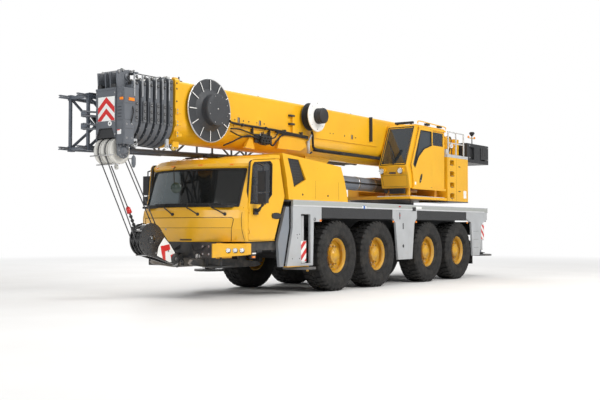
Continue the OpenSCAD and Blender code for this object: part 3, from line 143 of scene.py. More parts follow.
class Mat:
    """A node material in the making: small helpers round one Principled shader."""

    def __init__(self, name):
        self.m = bpy.data.materials.new(name)
        self.m.use_nodes = True
        self.t = self.m.node_tree
        self.t.nodes.clear()
        self.out = self.new("OutputMaterial")
        self.b = self.new("BsdfPrincipled")
        self.link(self.b.outputs[0], self.out.inputs[0])
        self.tex = self.new("TexCoord")

    def new(self, kind, **inputs):
        """A new node with values for its inputs, where _ stands for a blank in an input's name."""
        n = self.t.nodes.new(f"ShaderNode{kind}")
        for key, value in inputs.items():
            n.inputs[key.replace("_", " ")].default_value = value
        return n

    def link(self, a, b):
        self.t.links.new(a, b)

    def set(self, **vals):
        """Plain values on the shader."""
        names = {"rough": "Roughness", "metal": "Metallic", "coat": "Coat Weight",
                 "coat_rough": "Coat Roughness", "spec": "Specular IOR Level", "alpha": "Alpha"}
        for key, val in vals.items():
            self.b.inputs[names[key]].default_value = val
        return self

    def pattern(self, kind, **inputs):
        """A texture node laid in object space."""
        n = self.new(kind, **inputs)
        self.link(self.tex.outputs["Object"], n.inputs["Vector"])
        return n

    def noise(self, scale, detail=3.0, rough=0.55):
        return self.pattern("TexNoise", Scale=scale, Detail=detail, Roughness=rough).outputs["Fac"]

    def waves(self, direction, scale, distortion):
        n = self.pattern("TexWave", Scale=scale, Distortion=distortion)
        n.wave_type = "BANDS"
        n.bands_direction = direction
        return n.outputs["Fac"]

    def ramp(self, fac, stops):
        r = self.new("ValToRGB")
        while len(r.color_ramp.elements) < len(stops):
            r.color_ramp.elements.new(0.5)
        for e, (p, c) in zip(r.color_ramp.elements, stops):
            e.position = p
            e.color = (*c, 1)
        self.link(fac, r.inputs[0])
        return r.outputs[0]

    def drift(self, fac, colour, lo, hi, at=(0.3, 0.7)):
        """A colour that wanders between a darker and a paler tint of itself."""
        return self.ramp(fac, [(at[0], tint(colour, lo)), (at[1], tint(colour, hi))])

    def span(self, fac, lo, hi, to_lo=0.0, to_hi=1.0):
        r = self.new("MapRange", From_Min=lo, From_Max=hi, To_Min=to_lo, To_Max=to_hi)
        self.link(fac, r.inputs["Value"])
        return r.outputs[0]

    def axis(self, which):
        s = self.new("SeparateXYZ")
        self.link(self.tex.outputs["Object"], s.inputs[0])
        return s.outputs[which]

    def math(self, op, *values):
        n = self.new("Math")
        n.operation = op
        for sock, v in zip(n.inputs, values):
            if isinstance(v, (int, float)):
                sock.default_value = v
            else:
                self.link(v, sock)
        return n.outputs[0]

    def mix(self, fac, a, b):
        n = self.new("Mix")
        n.data_type = "RGBA"
        self.link(fac, n.inputs[0])
        for sock, v in ((n.inputs[6], a), (n.inputs[7], b)):
            if isinstance(v, tuple):
                sock.default_value = (*v, 1)
            else:
                self.link(v, sock)
        return n.outputs[2]

    def distance(self, x, y):
        """How far a point is from an axis, given its two distances across that axis."""
        return self.math("SQRT", self.math("ADD", self.math("MULTIPLY", x, x), self.math("MULTIPLY", y, y)))

    def colour(self, socket):
        self.link(socket, self.b.inputs["Base Color"])

    def rough(self, noise, lo, hi):
        """Roughness that wanders between two values."""
        self.link(self.span(noise, 0.3, 0.7, lo, hi), self.b.inputs["Roughness"])

    def dusted(self, tone, grime, top=1.5, foot=0.35, scale=7, start=0.42, dust=DUST):
        """A tone under patchy dust that grows from a height down to the foot."""
        low = self.span(self.axis("Z"), top, foot)
        share = self.math("MULTIPLY", low, self.span(self.noise(scale, 5), start, 0.75))
        self.colour(self.mix(self.math("MULTIPLY", share, grime), tone, dust))

    def bump(self, height, strength, distance):
        n = self.new("Bump", Strength=strength, Distance=distance)
        self.link(height, n.inputs["Height"])
        self.link(n.outputs[0], self.b.inputs["Normal"])


def painted(name, colour, rough=0.32, coat=0.35, grime=0.35):
    """Sprayed paint: slow drift of tone, fine orange peel, and dust that gathers low down."""
    m = Mat(name).set(coat=coat, coat_rough=0.12)
    m.dusted(m.drift(m.noise(1.7, 4), colour, 0.95, 1.05), grime)
    m.rough(m.noise(23, 4), rough * 0.85, min(1, rough * 1.25))
    m.bump(m.noise(240, 2), 0.12, 0.0006)
    return m.m


def cast(name, colour, rough=0.55, vary=0.12, grain=160, strength=0.25, metal=0.0, depth=0.0012):
    """Rough painted or cast metal."""
    m = Mat(name).set(metal=metal)
    m.colour(m.drift(m.noise(5, 6, 0.6), colour, 1 - vary, 1 + vary, at=(0.28, 0.72)))
    m.rough(m.noise(31, 4), rough * 0.85, min(1, rough * 1.2))
    m.bump(m.noise(grain, 3), strength, depth)
    return m.m


def lamp_glass(name, colour, glow=0.0, cells=260):
    """A moulded lens with small prisms under a clear face; with glow it shines a little by itself, as
    painted light, also where it serves a reflector that is no lamp.
    """
    m = Mat(name).set(coat=0.8, coat_rough=0.04, rough=0.12)
    prisms = m.pattern("TexVoronoi", Scale=cells).outputs["Distance"]
    m.colour(m.drift(prisms, colour, 1.15, 0.7, at=(0.1, 0.8)))
    m.bump(prisms, 0.35, 0.001)
    if glow:
        m.b.inputs["Emission Color"].default_value = (*colour, 1)
        m.b.inputs["Emission Strength"].default_value = glow
    return m.m


def window(name, colour, alpha):
    """Tinted pane with a faint drift in its tint."""
    m = Mat(name).set(rough=0.04, coat=1.0, coat_rough=0.02, spec=0.8, alpha=alpha)
    m.colour(m.drift(m.noise(0.9, 2), colour, 0.8, 1.3))
    m.bump(m.noise(3, 1), 0.02, 0.002)
    return m.m


def rubber(name):
    """Black rubber with a little dry dust all over."""
    m = Mat(name).set(spec=0.3)
    base = m.ramp(m.noise(9, 5), [(0.3, (0.012, 0.012, 0.0125)), (0.75, (0.028, 0.027, 0.026))])
    dust = m.math("MULTIPLY", m.span(m.noise(4, 6, 0.7), 0.48, 0.8), 0.35)
    m.colour(m.mix(dust, base, (0.10, 0.09, 0.075)))
    m.rough(m.noise(40, 3), 0.62, 0.85)
    m.bump(m.noise(190, 4), 0.35, 0.0012)
    return m.m


def wire(name, colour=(0.10, 0.10, 0.105)):
    """Laid wire rope: strands wound round the run, with painted shade between the strands and a painted
    highlight on them.
    """
    m = Mat(name).set(metal=0.75)
    strands = m.waves("DIAGONAL", 38, 0.4)
    m.colour(m.drift(strands, colour, 0.45, 1.5, at=(0.1, 0.8)))
    m.rough(m.noise(50, 3), 0.35, 0.6)
    m.bump(strands, 0.6, 0.003)
    return m.m


def rope_wound(name):
    """Rope wound on a drum along X: grooves across the drum, painted dark between the turns as painted
    shade.
    """
    m = Mat(name).set(metal=0.7, rough=0.5)
    turns = m.waves("X", 7.2, 0.1)
    m.colour(m.ramp(turns, [(0.1, (0.03, 0.03, 0.03)), (0.85, (0.22, 0.22, 0.23))]))
    m.bump(turns, 0.9, 0.01)
    return m.m


YELLOW = (0.80, 0.42, 0.012)
GREY = (0.115, 0.125, 0.142)
INK = (0.018, 0.019, 0.021)
STEEL = (0.20, 0.22, 0.25)
BEAM = (0.21, 0.19, 0.17)
PALE = (0.62, 0.61, 0.57)
m_yellow = painted("yellow_paint", YELLOW)
m_rim = painted("rim_paint", tint(YELLOW, 0.80), rough=0.4, coat=0.2, grime=0.6)
m_white = painted("white_paint", (0.78, 0.78, 0.76), rough=0.4, coat=0.2, grime=0.2)
m_black = painted("gloss_black", (0.015, 0.016, 0.018), rough=0.25, coat=0.6, grime=0.15)
m_red = painted("red_paint", (0.62, 0.02, 0.018), rough=0.4, coat=0.2, grime=0.2)
m_green = painted("dark_green", (0.018, 0.035, 0.026), rough=0.3, coat=0.5, grime=0)
m_blue = painted("blue_clip", (0.03, 0.13, 0.42), rough=0.4, grime=0.1)
m_label = painted("blank_label", (0.82, 0.82, 0.80), rough=0.5, coat=0.1, grime=0)
m_steel_grey = cast("dark_grey_paint", (0.115, 0.12, 0.128), rough=0.45, vary=0.1)
m_bluegrey = cast("blue_grey_paint", GREY, rough=0.45, vary=0.08)
m_lightgrey = cast("aluminium_grey", (0.45, 0.46, 0.47), rough=0.4, vary=0.08)
m_jib = cast("jib_paint", (0.10, 0.115, 0.14), rough=0.45, vary=0.1)
m_barrel = cast("barrel_paint", (0.20, 0.225, 0.265), rough=0.35, vary=0.06)
m_counterweight = cast("counterweight_black", (0.022, 0.023, 0.025), rough=0.42, grain=120, strength=0.2)
m_reel = cast("reel_grey", (0.038, 0.041, 0.046), vary=0.08, grain=260, strength=0.15)
m_dark = cast("frame_black", (0.028, 0.029, 0.031), rough=0.5)
m_cast = cast("cast_iron", (0.07, 0.07, 0.072), rough=0.6, vary=0.2, grain=90)
m_groove = cast("shut_line", (0.045, 0.028, 0.006), rough=0.8)
m_plastic = cast("black_plastic", (0.02, 0.02, 0.021), rough=0.6, grain=420, strength=0.35, depth=0.0006)
m_pale = cast("nylon_off_white", PALE, rough=0.45, vary=0.06)
m_seat = cast("seat_cloth", (0.03, 0.031, 0.034), rough=0.9, vary=0.2, grain=600, strength=0.4)
m_zinc = cast("zinc_steel", (0.5, 0.5, 0.5), rough=0.32, metal=1.0, vary=0.08, grain=300, strength=0.1)
m_chrome = cast("rod_chrome", (0.72, 0.73, 0.75), rough=0.1, metal=1.0, vary=0.03, grain=500, strength=0.02)
m_bronze = cast("brass_gold", (0.75, 0.52, 0.14), rough=0.35, metal=0.6)
m_edge = cast("bare_edge", (0.62, 0.63, 0.64), rough=0.3, metal=0.8, vary=0.06, grain=300, strength=0.1)
m_strip = cast("silver_strip", (0.66, 0.67, 0.68), rough=0.35, metal=0.35, vary=0.06, grain=220,
               strength=0.08)
m_orange = lamp_glass("orange_lens", (0.95, 0.25, 0.01), glow=0.15)
m_red_lens = lamp_glass("red_lens", (0.55, 0.01, 0.01))
m_clear = lamp_glass("clear_lens", (0.85, 0.87, 0.9), cells=180)
m_dark_pane = window("crane_pane", (0.018, 0.026, 0.034), 0.80)
m_tyre = rubber("tyre_rubber")
m_rubber = rubber("seal_rubber")
m_wire = wire("wire_rope")
m_wound = rope_wound("wound_rope")

# ---------------------------------------------------------------- paint by zone of a CAD node
OPEN = (None, None, None)


def in_box(m, lo, hi):
    """1 inside a box of the rest frame, 0 outside; None leaves a side open, and X counts on both sides."""
    fac = None
    for k, (a, b) in zip("XYZ", zip(lo, hi)):
        for bound, op in ((a, "GREATER_THAN"), (b, "LESS_THAN")):
            if bound is None:
                continue
            axis = m.math("ABSOLUTE", m.axis(k)) if k == "X" else m.axis(k)
            test = m.math(op, axis, bound)
            fac = test if fac is None else m.math("MULTIPLY", fac, test)
    return fac


def in_round(m, y, z, r):
    """1 within a radius of an axis along X."""
    dy = m.math("SUBTRACT", m.axis("Y"), y)
    dz = m.math("SUBTRACT", m.axis("Z"), z)
    return m.math("LESS_THAN", m.distance(dy, dz), r)


def in_zone(m, lo, hi, disc=None):
    """1 inside a box, or only where it meets a disc (y, z, radius) as well."""
    inside = in_box(m, lo, hi)
    return m.math("MULTIPLY", inside, in_round(m, *disc)) if disc else inside


def zoned(name, base, zones, rough=0.42, coat=0.2, grime=0.35, pane=None):
    """Paint with zones of other colours, [(colour, low corner, high corner, disc)], and a clear pane."""
    m = Mat(name).set(coat=coat, coat_rough=0.15)
    wander = m.noise(1.9, 4)
    tone = m.drift(wander, base, 0.95, 1.05)
    for colour, *zone in zones:
        inside = in_zone(m, *zone)
        tone = m.mix(inside, tone, m.drift(wander, colour, 0.92, 1.08))
    m.dusted(tone, grime)
    r = m.span(m.noise(23, 4), 0.3, 0.7, rough * 0.85, min(1, rough * 1.25))
    if pane:
        glass = in_box(m, *pane)
        r = m.mix(glass, r, (0.04, 0.04, 0.04))
        m.link(m.math("MULTIPLY_ADD", glass, -0.45, 1.0), m.b.inputs["Alpha"])
    m.link(r, m.b.inputs["Roughness"])
    m.bump(m.noise(240, 2), 0.12, 0.0006)
    return m.m


def dress(name, mat):
    """Gives every material slot of a CAD node one material."""
    slots = nodes[name].data.materials
    if not slots:
        slots.append(mat)
    for i in range(len(slots)):
        slots[i] = mat


# Plain finishes, by a node's whole name or by the first word of it
plain = {"chassis_frame": m_dark, "carrier_cab": m_yellow, "engine_cover": m_yellow, "crane_cab": m_yellow,
         "boom_base": m_yellow, "drivetrain": m_cast, "hook_block": m_black, "luffing_rod": m_chrome,
         "luffing_barrel": m_barrel, "hoist_drum": m_wound, "hose_reel": m_reel, "lattice_jib": m_jib,
         "counterweight": m_counterweight, "crane_cab_glass": m_dark_pane, "tyre": m_tyre, "rim": m_rim,
         "knuckle": m_cast, "outrigger": m_lightgrey}
for name in nodes:
    mat = plain.get(name, plain.get(name.split("_")[0]))
    if mat:
        dress(name, mat)

# ---------------------------------------------------------------- floor
FADE_FROM, FADE_TO = 9, 26
floor_mat = Mat("floor_pale").set(rough=0.55, spec=0.25)
far = floor_mat.distance(floor_mat.axis("X"), floor_mat.axis("Y"))
tones = [(0.3, (0.80, 0.79, 0.775)), (0.7, (0.86, 0.855, 0.845))]
floor_mat.colour(floor_mat.ramp(floor_mat.noise(0.35, 4), tones))
glow = floor_mat.new("Emission", Color=(1, 1, 1, 1))
fade = floor_mat.new("MixShader")
floor_mat.link(floor_mat.span(far, FADE_FROM, FADE_TO), fade.inputs[0])
floor_mat.link(floor_mat.b.outputs[0], fade.inputs[1])
floor_mat.link(glow.outputs[0], fade.inputs[2])
floor_mat.link(fade.outputs[0], floor_mat.out.inputs[0])
bpy.ops.mesh.primitive_plane_add(size=400)
floor = bpy.context.object
floor.name = "floor"
floor.data.materials.append(floor_mat.m)

# ---------------------------------------------------------------- mesh helpers


def add(me, name):
    """An object in the scene for a mesh."""
    o = bpy.data.objects.new(name, me)
    scene.collection.objects.link(o)
    return o


class Part:
    """Collects geometry, with a material to each face, into one piece."""

    def __init__(self):
        self.bm = bmesh.new()
        self.mats = []

    def slot(self, mat):
        if mat not in self.mats:
            self.mats.append(mat)
        return self.mats.index(mat)

    def face(self, loop, k, smooth=False):
        f = self.bm.faces.new(loop)
        f.material_index = k
        f.smooth = smooth

    def faces(self, verts, faces, mat):
        k = self.slot(mat)
        vs = [self.bm.verts.new(v) for v in verts]
        for f in faces:
            self.face([vs[i] for i in f], k)

    def skin(self, a, b, k, smooth=True):
        """Faces between two rings of points, either of which may be a single point."""
        for i in range(max(len(a), len(b))):
            j = i + 1
            loop = list(dict.fromkeys((a[i % len(a)], a[j % len(a)], b[j % len(b)], b[i % len(b)])))
            if len(loop) > 2:
                self.face(loop, k, smooth)

    def box(self, lo, hi, mat, spin=None, about=None):
        """A box between two corners, turned by a matrix about its middle or another point if given."""
        (x0, x1), (y0, y1), (z0, z1) = [sorted(pair) for pair in zip(lo, hi)]
        v = [(x, y, z) for z in (z0, z1) for x, y in ((x0, y0), (x1, y0), (x1, y1), (x0, y1))]
        if spin is not None:
            c = about or Vector(((x0 + x1) / 2, (y0 + y1) / 2, (z0 + z1) / 2))
            v = [c + spin @ (Vector(p) - c) for p in v]
        self.faces(v, [(3, 2, 1, 0), (4, 5, 6, 7), (0, 1, 5, 4), (1, 2, 6, 5), (2, 3, 7, 6), (3, 0, 4, 7)],
                   mat)

    def plate(self, x, y0, z0, y1, z1, mat, proud=0.004, sink=0.0):
        """A plate on an upright side face at x, standing out from it and let into it by so much."""
        s = math.copysign(1, x)
        self.box((x - s * sink, y0, z0), (x + s * proud, y1, z1), mat)

    def prism(self, points, axis, a, b, mat):
        """A flat outline pushed along an axis from a to b; its two numbers fill the other axes in order."""
        k, n = "XYZ".index(axis), len(points)
        turns = zip(points, points[1:] + points[:1])
        left = sum(p[0] * q[1] - q[0] * p[1] for p, q in turns) > 0
        pts = points if left != (axis == "Y") else points[::-1]
        v = [(*p[:k], t, *p[k:]) for t in sorted((a, b)) for p in pts]
        f = [tuple(range(n - 1, -1, -1)), tuple(range(n, 2 * n))]
        f += [(i, (i + 1) % n, n + (i + 1) % n, n + i) for i in range(n)]
        self.faces(v, f, mat)

    def rod(self, a, b, r, mat, n=16, r2=None, smooth=True):
        """A round bar or cone from a to b."""
        a, b = Vector(a), Vector(b)
        q = (b - a).to_track_quat("Z", "Y")
        k = self.slot(mat)
        lo, hi = [[self.bm.verts.new(end + q @ Vector((x, y, 0)) * size) for x, y in circle(n, 1)]
                  for end, size in ((a, r), (b, r if r2 is None else r2))]
        self.skin(lo, hi, k, smooth)
        for loop in (lo[::-1], hi):
            self.face(loop, k)

    def lathe(self, profile, at, along, mat, n=48, mats=None):
        """Turns a profile of [radius, distance along the axis] round the axis through a point."""
        at = Vector(at)
        q = Vector(along).to_track_quat("Z", "Y")
        rows = []
        for r, t in profile:
            spots = circle(n, r) if r else [(0, 0)]
            rows.append([self.bm.verts.new(at + q @ Vector((x, y, t))) for x, y in spots])
        for j, (a, b) in enumerate(zip(rows, rows[1:])):
            self.skin(a, b, self.slot(mats[j] if mats else mat))

    def tube(self, path, r, mat, n=10, closed=False):
        """A round tube along a path of points."""
        p = [Vector(v) for v in path]
        k, m = self.slot(mat), len(p)
        rings = []
        side = None
        for i in range(m):
            before, after = (i - 1, (i + 1) % m) if closed else (max(i - 1, 0), min(i + 1, m - 1))
            t = (p[after] - p[before]).normalized()
            if side is None:
                side = t.orthogonal().normalized()
            side = (side - t * side.dot(t)).normalized()
            up = t.cross(side)
            rings.append([self.bm.verts.new(p[i] + (side * x + up * y) * r) for x, y in circle(n, 1)])
        for a, b in zip(rings, rings[1:] + (rings[:1] if closed else [])):
            self.skin(a, b, k)
        if not closed:
            self.face(rings[0][::-1], k)
            self.face(rings[-1], k)

    def bolt(self, at, along, r, mat, h=None, washer=True):
        """A hexagon head on its washer."""
        at, along = Vector(at), Vector(along).normalized()
        h = h or r * 0.8
        if washer:
            self.rod(at, at + along * h * 0.25, r * 1.45, mat, n=12, smooth=False)
        self.rod(at, at + along * h, r, mat, n=6, smooth=False)

    def mesh(self, name):
        me = bpy.data.meshes.new(name)
        bmesh.ops.recalc_face_normals(self.bm, faces=self.bm.faces)
        self.bm.to_mesh(me)
        self.bm.free()
        for m in self.mats:
            me.materials.append(m)
        return me

    def make(self, name, body=None, bevel=0.0):
        """The finished piece, with bevelled edges and on a body where these are given."""
        o = add(self.mesh(name), name)
        if bevel:
            b = o.modifiers.new("edge", "BEVEL")
            b.width = bevel
            b.segments = 2
            b.limit_method = "ANGLE"
            b.angle_limit = math.radians(38)
            b.harden_normals = True
            for f in o.data.polygons:
                f.use_smooth = True
        if body:
            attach(o, body)
        return o


def spline(points, steps=8):
    """Points along a smooth curve through the given ones."""
    p = [Vector(v) for v in points]
    p = [2 * p[0] - p[1]] + p + [2 * p[-1] - p[-2]]
    out = []
    for a, b, c, d in zip(p, p[1:], p[2:], p[3:]):
        for t in [j / steps for j in range(steps)]:
            out.append(0.5 * ((2 * b) + (c - a) * t + (2 * a - 5 * b + 4 * c - d) * t * t
                              + (3 * b - a - 3 * c + d) * t * t * t))
    return out + [p[-2]]


def line(a, b, n=14):
    """Points along a straight line, its two ends among them."""
    return [a + (b - a) * i / n for i in range(n + 1)]


# ---------------------------------------------------------------- wheels
AXLE = [middle(f"tyre_{n}_left").y for n in range(1, 5)]
FA = AXLE[0]
WHEEL_X = middle("tyre_1_left").x
TYRE_R = middle("knuckle_1_left").z
TYRE_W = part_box("tyre_1_left")[1].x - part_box("tyre_1_left")[0].x
RIM_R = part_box("rim_1_left")[1].z - TYRE_R
TREAD_BLOCKS = 34


def tread(p, points, faces, s):
    """One block of the tread, whose faces turn over on the inner side."""
    p.faces(points, faces if s > 0 else [f[::-1] for f in faces], m_tyre)


def tyre_part():
    """One tyre about Z, its outer side up: carcass, shoulder and centre blocks, sidewall ribs."""
    p = Part()
    h = TYRE_W / 2
    bead = RIM_R - 0.006
    rise = TYRE_R - bead
    floor_r = TYRE_R - 0.021
    side = [(bead, 0.70 * h), (bead + 0.02, 0.80 * h), (bead + 0.055, 0.90 * h), (bead + 0.075, 0.955 * h),
            (bead + 0.30 * rise, 0.985 * h), (bead + 0.52 * rise, 1.0 * h), (bead + 0.66 * rise, 0.985 * h),
            (bead + 0.70 * rise, 0.96 * h), (bead + 0.80 * rise, 0.945 * h),
            (TYRE_R - 0.045, 0.90 * h), (floor_r - 0.008, 0.80 * h), (floor_r, 0.4 * h)]
    p.lathe(side + [(floor_r, 0.0)] + [(r, -t) for r, t in side[::-1]], (0, 0, 0), UP, m_tyre, n=96)
    # Raised rings on the sidewall
    w = 0.006
    for s in (1, -1):
        for r, y in ((bead + 0.14 * rise, 0.965 * h), (bead + 0.60 * rise, 0.985 * h)):
            p.lathe([(r - w, s * (y - 0.006)), (r - w * 0.6, s * (y + 0.004)),
                     (r + w * 0.6, s * (y + 0.004)), (r + w, s * (y - 0.006))], (0, 0, 0), UP, m_tyre, n=72)
    step = 2 * math.pi / TREAD_BLOCKS

    def ring(turn, drop, z):
        """A point so many steps round, so far below the tread, at a share of the half width."""
        a, r = turn * step, TYRE_R - drop
        return (r * math.cos(a), r * math.sin(a), s * z * h)
    for i in range(TREAD_BLOCKS):
        for s, k in ((1, i), (-1, i + 0.5)):
            # Shoulder block, wider outside, wrapping over the shoulder
            block = [ring(k, 0.001, 0.30), ring(k + 0.60, 0.001, 0.36), ring(k + 0.66, 0.003, 0.80),
                     ring(k - 0.02, 0.003, 0.80), ring(k + 0.64, 0.052, 0.945), ring(k, 0.052, 0.945),
                     ring(k + 0.02, 0.03, 0.33), ring(k + 0.58, 0.03, 0.38), ring(k + 0.60, 0.085, 0.93),
                     ring(k + 0.04, 0.085, 0.93)]
            tread(p, block, [(0, 1, 2, 3), (3, 2, 4, 5), (5, 4, 8, 9), (0, 3, 5, 9, 6), (1, 7, 8, 4, 2),
                             (0, 6, 7, 1)], s)
            # Centre block, a slanted bar to the middle
            k += 0.18
            top = [ring(k + 0.12, 0, 0.02), ring(k + 0.66, 0, 0.02), ring(k + 0.52, 0.0005, 0.25),
                   ring(k - 0.06, 0.0005, 0.25)]
            foot = [(x * (TYRE_R - 0.03) / TYRE_R, y * (TYRE_R - 0.03) / TYRE_R, z) for x, y, z in top]
            tread(p, top + foot, [(0, 1, 2, 3), (0, 3, 7, 4), (1, 0, 4, 5), (2, 1, 5, 6), (3, 2, 6, 7)], s)
    return p


def hub_part():
    """What is bolted to one rim: ring of wheel nuts, planetary hub with its cover and bolts, valve."""
    p = Part()
    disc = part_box("rim_1_left")[1].x - WHEEL_X - 0.130
    top = disc + 0.104
    for x, y in circle(10, 0.205, turn=0.5):
        p.bolt((x, y, disc), UP, 0.017, m_rim, h=0.028)
        p.rod((x, y, disc + 0.02), (x, y, disc + 0.040), 0.010, m_zinc, n=10)
    p.lathe([(0.166, top - 0.03), (0.166, top - 0.010), (0.156, top), (0.118, top + 0.002),
             (0.112, top + 0.016), (0.060, top + 0.021), (0.052, top + 0.028), (0.0, top + 0.030)],
            (0, 0, 0), UP, m_rim)
    for x, y in circle(12, 0.137):
        p.bolt((x, y, top), UP, 0.0085, m_rim)
    for x, y in circle(6, 0.088, turn=0.5):
        p.bolt((x, y, top + 0.018), UP, 0.006, m_rim)
    # Rolled lip of the rim and the valve
    p.lathe([(RIM_R - 0.050, disc + 0.075), (RIM_R - 0.043, disc + 0.082), (RIM_R - 0.043, disc + 0.118),
             (RIM_R - 0.030, disc + 0.128)], (0, 0, 0), UP, m_rim, n=72)
    p.tube([(0.235, 0.05, disc), (0.245, 0.052, disc + 0.03), (0.262, 0.055, disc + 0.06)], 0.006, m_zinc,
           n=8)
    # Round hand holes are dark wells in the disc, made as dark discs: painted shade in place of the open
    # holes
    for x, y in circle(8, 0.252):
        p.lathe([(0.021, disc + 0.0006), (0.019, disc + 0.0022), (0.0, disc + 0.0014)], (x, y, 0), UP,
                m_rim, n=16, mats=[m_rim, m_dark])
    return p


tyre_me = tyre_part().mesh("tyre_with_blocks")
hub_me = hub_part().mesh("wheel_hub")
for n, y in enumerate(AXLE, 1):
    for side_name, side in SIDES:
        tag = f"{n}_{side_name}"
        place = (Matrix.Translation((side * WHEEL_X, y, TYRE_R))
                 @ Matrix.Rotation(math.radians(90 * side), 4, "Y"))
        for me, name in ((tyre_me, f"tyre_blocks_{tag}"), (hub_me, f"hub_{tag}")):
            o = add(me, name)
            o.matrix_world = place
            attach(o, f"wheel_{tag}")
            if me == tyre_me:
                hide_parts(f"tyre_{tag}")

# ---------------------------------------------------------------- zones of the carrier and the boom
PANE_LO, PANE_HI = (1.2505, FA - 2.93, 1.77), (1.272, FA - 2.25, 2.595)
dress("front_bumper", zoned("bumper_paint", INK, [
    (YELLOW, (0.875, None, 0.76), (None, FA - 2.85, 1.045)),
    (STEEL, (1.235, FA - 2.1, 0.5), OPEN),
    (BEAM, (0.38, None, None), (0.52, None, 0.80))]))
for side_name, side in SIDES:
    dress(f"door_{side_name}", zoned(f"door_paint_{side_name}", YELLOW, [
        (INK, (1.3005, None, None), OPEN),
        ((0.02, 0.022, 0.024), (None, None, 1.765), (1.285, None, 2.60)),
        ((0.085, 0.090, 0.100), PANE_LO, PANE_HI)], rough=0.34, coat=0.35, pane=(PANE_LO, PANE_HI)))
dress("boom_section_6", zoned("head_paint", GREY, [
    (PALE, OPEN, (0.243, None, 2.89), (-6.38, 2.65, 0.236)),
    (PALE, (0.10, None, 3.75), (0.165, None, None), (-6.265, 3.95, 0.12)),
    (tint(GREY, 0.8), (None, -6.0, None), (0.46, None, None))], rough=0.5, coat=0.1, grime=0.0))
for k in range(1, 6):
    dress(f"boom_section_{k}",
          zoned(f"section_paint_{k}", tint(GREY, 0.85), [], rough=0.5, coat=0.1, grime=0.0))

# ---------------------------------------------------------------- carrier cab
CAB_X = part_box("carrier_cab")[1].x
# The front of the cab is an arc across; its setback at each height: (height, setback)
NOSE = [(1.06, 0.09), (1.3, 0.01), (1.5, 0.0), (1.655, 0.025), (1.715, 0.07), (2.44, 0.275), (2.475, 0.235),
        (2.53, 0.225), (2.625, 0.33), (2.68, 0.6)]
NOSE_R = 2.4
NOSE_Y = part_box("carrier_cab")[0].y + NOSE_R
SCREEN_X, SCREEN_Z = 1.172, (1.74, 2.41)


def nose(x, z, out=0.0):
    """A point on the front of the carrier's cab, or so far in front of it."""
    for (z0, s0), (z1, s1) in zip(NOSE, NOSE[1:]):
        if z <= z1:
            break
    s = s0 + (s1 - s0) * min(1, max(0, (z - z0) / (z1 - z0)))
    r = NOSE_R - s + out
    return (x, NOSE_Y - math.sqrt(r * r - x * x), z)


def across_nose(x0, x1, z, out=0.0, n=14):
    return [nose(x0 + (x1 - x0) * i / n, z, out) for i in range(n + 1)]


def hood_corner(s):
    """The shut line that turns down beside the hood, on one side."""
    return ([nose(s * 1.125, 1.50, 0.001)]
            + [nose(s * (1.135 - 0.09 * i / 8), 1.48 - 0.40 * i / 8, 0.001) for i in range(9)])


p = Part()
# Shut lines of the hood panel under the windscreen, and of the two corner panels
p.tube(across_nose(-1.10, 1.10, 1.515, 0.001) + hood_corner(1), 0.0055, m_groove, n=6)
p.tube([nose(-1.10, 1.515, 0.001)] + hood_corner(-1), 0.0055, m_groove, n=6)
p.tube(across_nose(-1.04, 1.09, 1.325, 0.0005), 0.0035, m_groove, n=6)
for s in (1, -1):
    p.tube([nose(s * 1.262, 1.70 - 0.61 * i / 6, 0.0012) for i in range(7)], 0.004, m_groove, n=6)
p.make("cab_shut_lines", "carrier")

p = Part()
# Grip slot low in the hood
for z, r in ((1.112, 0.006), (1.096, 0.009)):
    p.tube(across_nose(0.0, 0.28, z, -0.001, n=6), r, m_dark, n=8)
# Rubber round the windscreen and the dark band along its foot
rise = [SCREEN_Z[0] + (SCREEN_Z[1] - SCREEN_Z[0]) * i / 6 for i in range(7)]
loop = across_nose(-SCREEN_X, SCREEN_X, 1.728, 0.004) + [nose(SCREEN_X, z, 0.004) for z in rise]
loop += across_nose(SCREEN_X, -SCREEN_X, 2.425, 0.004) + [nose(-SCREEN_X, z, 0.004) for z in rise[::-1]]
p.tube(loop, 0.017, m_rubber, n=8, closed=True)
p.tube(across_nose(-1.15, 1.15, 1.757, 0.008), 0.012, m_plastic, n=8)
p.make("windscreen_seal", "carrier")

p = Part()
# Three wipers, parked: hub, arm, blade with its bows
for x in (-0.136, 0.463, 0.982):
    hub, knee = Vector(nose(x, 1.578, 0.018)), Vector(nose(x - 0.26, 1.705, 0.042))
    p.lathe([(0.030, 0.0), (0.030, 0.022), (0.021, 0.034), (0.0, 0.036)], nose(x, 1.578, -0.004),
            (0.1, -1, 0.1), m_plastic, n=20)
    p.tube([hub, (hub + knee) / 2 + Vector((0, -0.012, 0.01)), knee], 0.0115, m_plastic, n=8)
    blade = across_nose(x - (0.55 if x > -0.1 else 0.62), min(x + 0.05, 0.87), 1.775, 0.022, n=10)
    p.tube(blade, 0.009, m_rubber, n=8)
    p.tube([Vector(v) + Vector((0, -0.014, 0.006)) for v in blade[2:-2]], 0.006, m_plastic, n=6)
    p.tube([knee, Vector(blade[5]) + Vector((0, -0.016, 0.004))], 0.008, m_plastic, n=8)
p.make("windscreen_wipers", "carrier")

p = Part()
# Round front-view mirror on its stalk from the visor
stalk = [nose(-0.30, 2.50, -0.01), nose(-0.295, 2.46, 0.06), nose(-0.24, 2.33, 0.10),
         nose(-0.17, 2.19, 0.12)]
p.tube(spline(stalk, 6), 0.010, m_plastic, n=8)
c = Vector(nose(-0.11, 2.085, 0.10))
p.lathe([(0.0, -0.035), (0.055, -0.030), (0.095, -0.012), (0.104, 0.004), (0.099, 0.010), (0.0, 0.013)],
        c, (0.55, -0.8, 0.05), m_green, n=36)
p.make("front_mirror", "carrier")

p = Part()
# Pillar and screen frame seen through the glass, and the dash top
for head, foot in ((-0.10, 0.43), (0.20, 0.50)):
    p.rod((head, -4.38, 2.45), (foot, -4.50, 1.80), 0.045, m_dark, n=10)
p.box((-1.1, -4.56, 1.70), (1.1, -4.30, 1.745), m_plastic)
p.box((-1.1, -4.30, 1.60), (1.1, -4.22, 1.80), m_plastic)
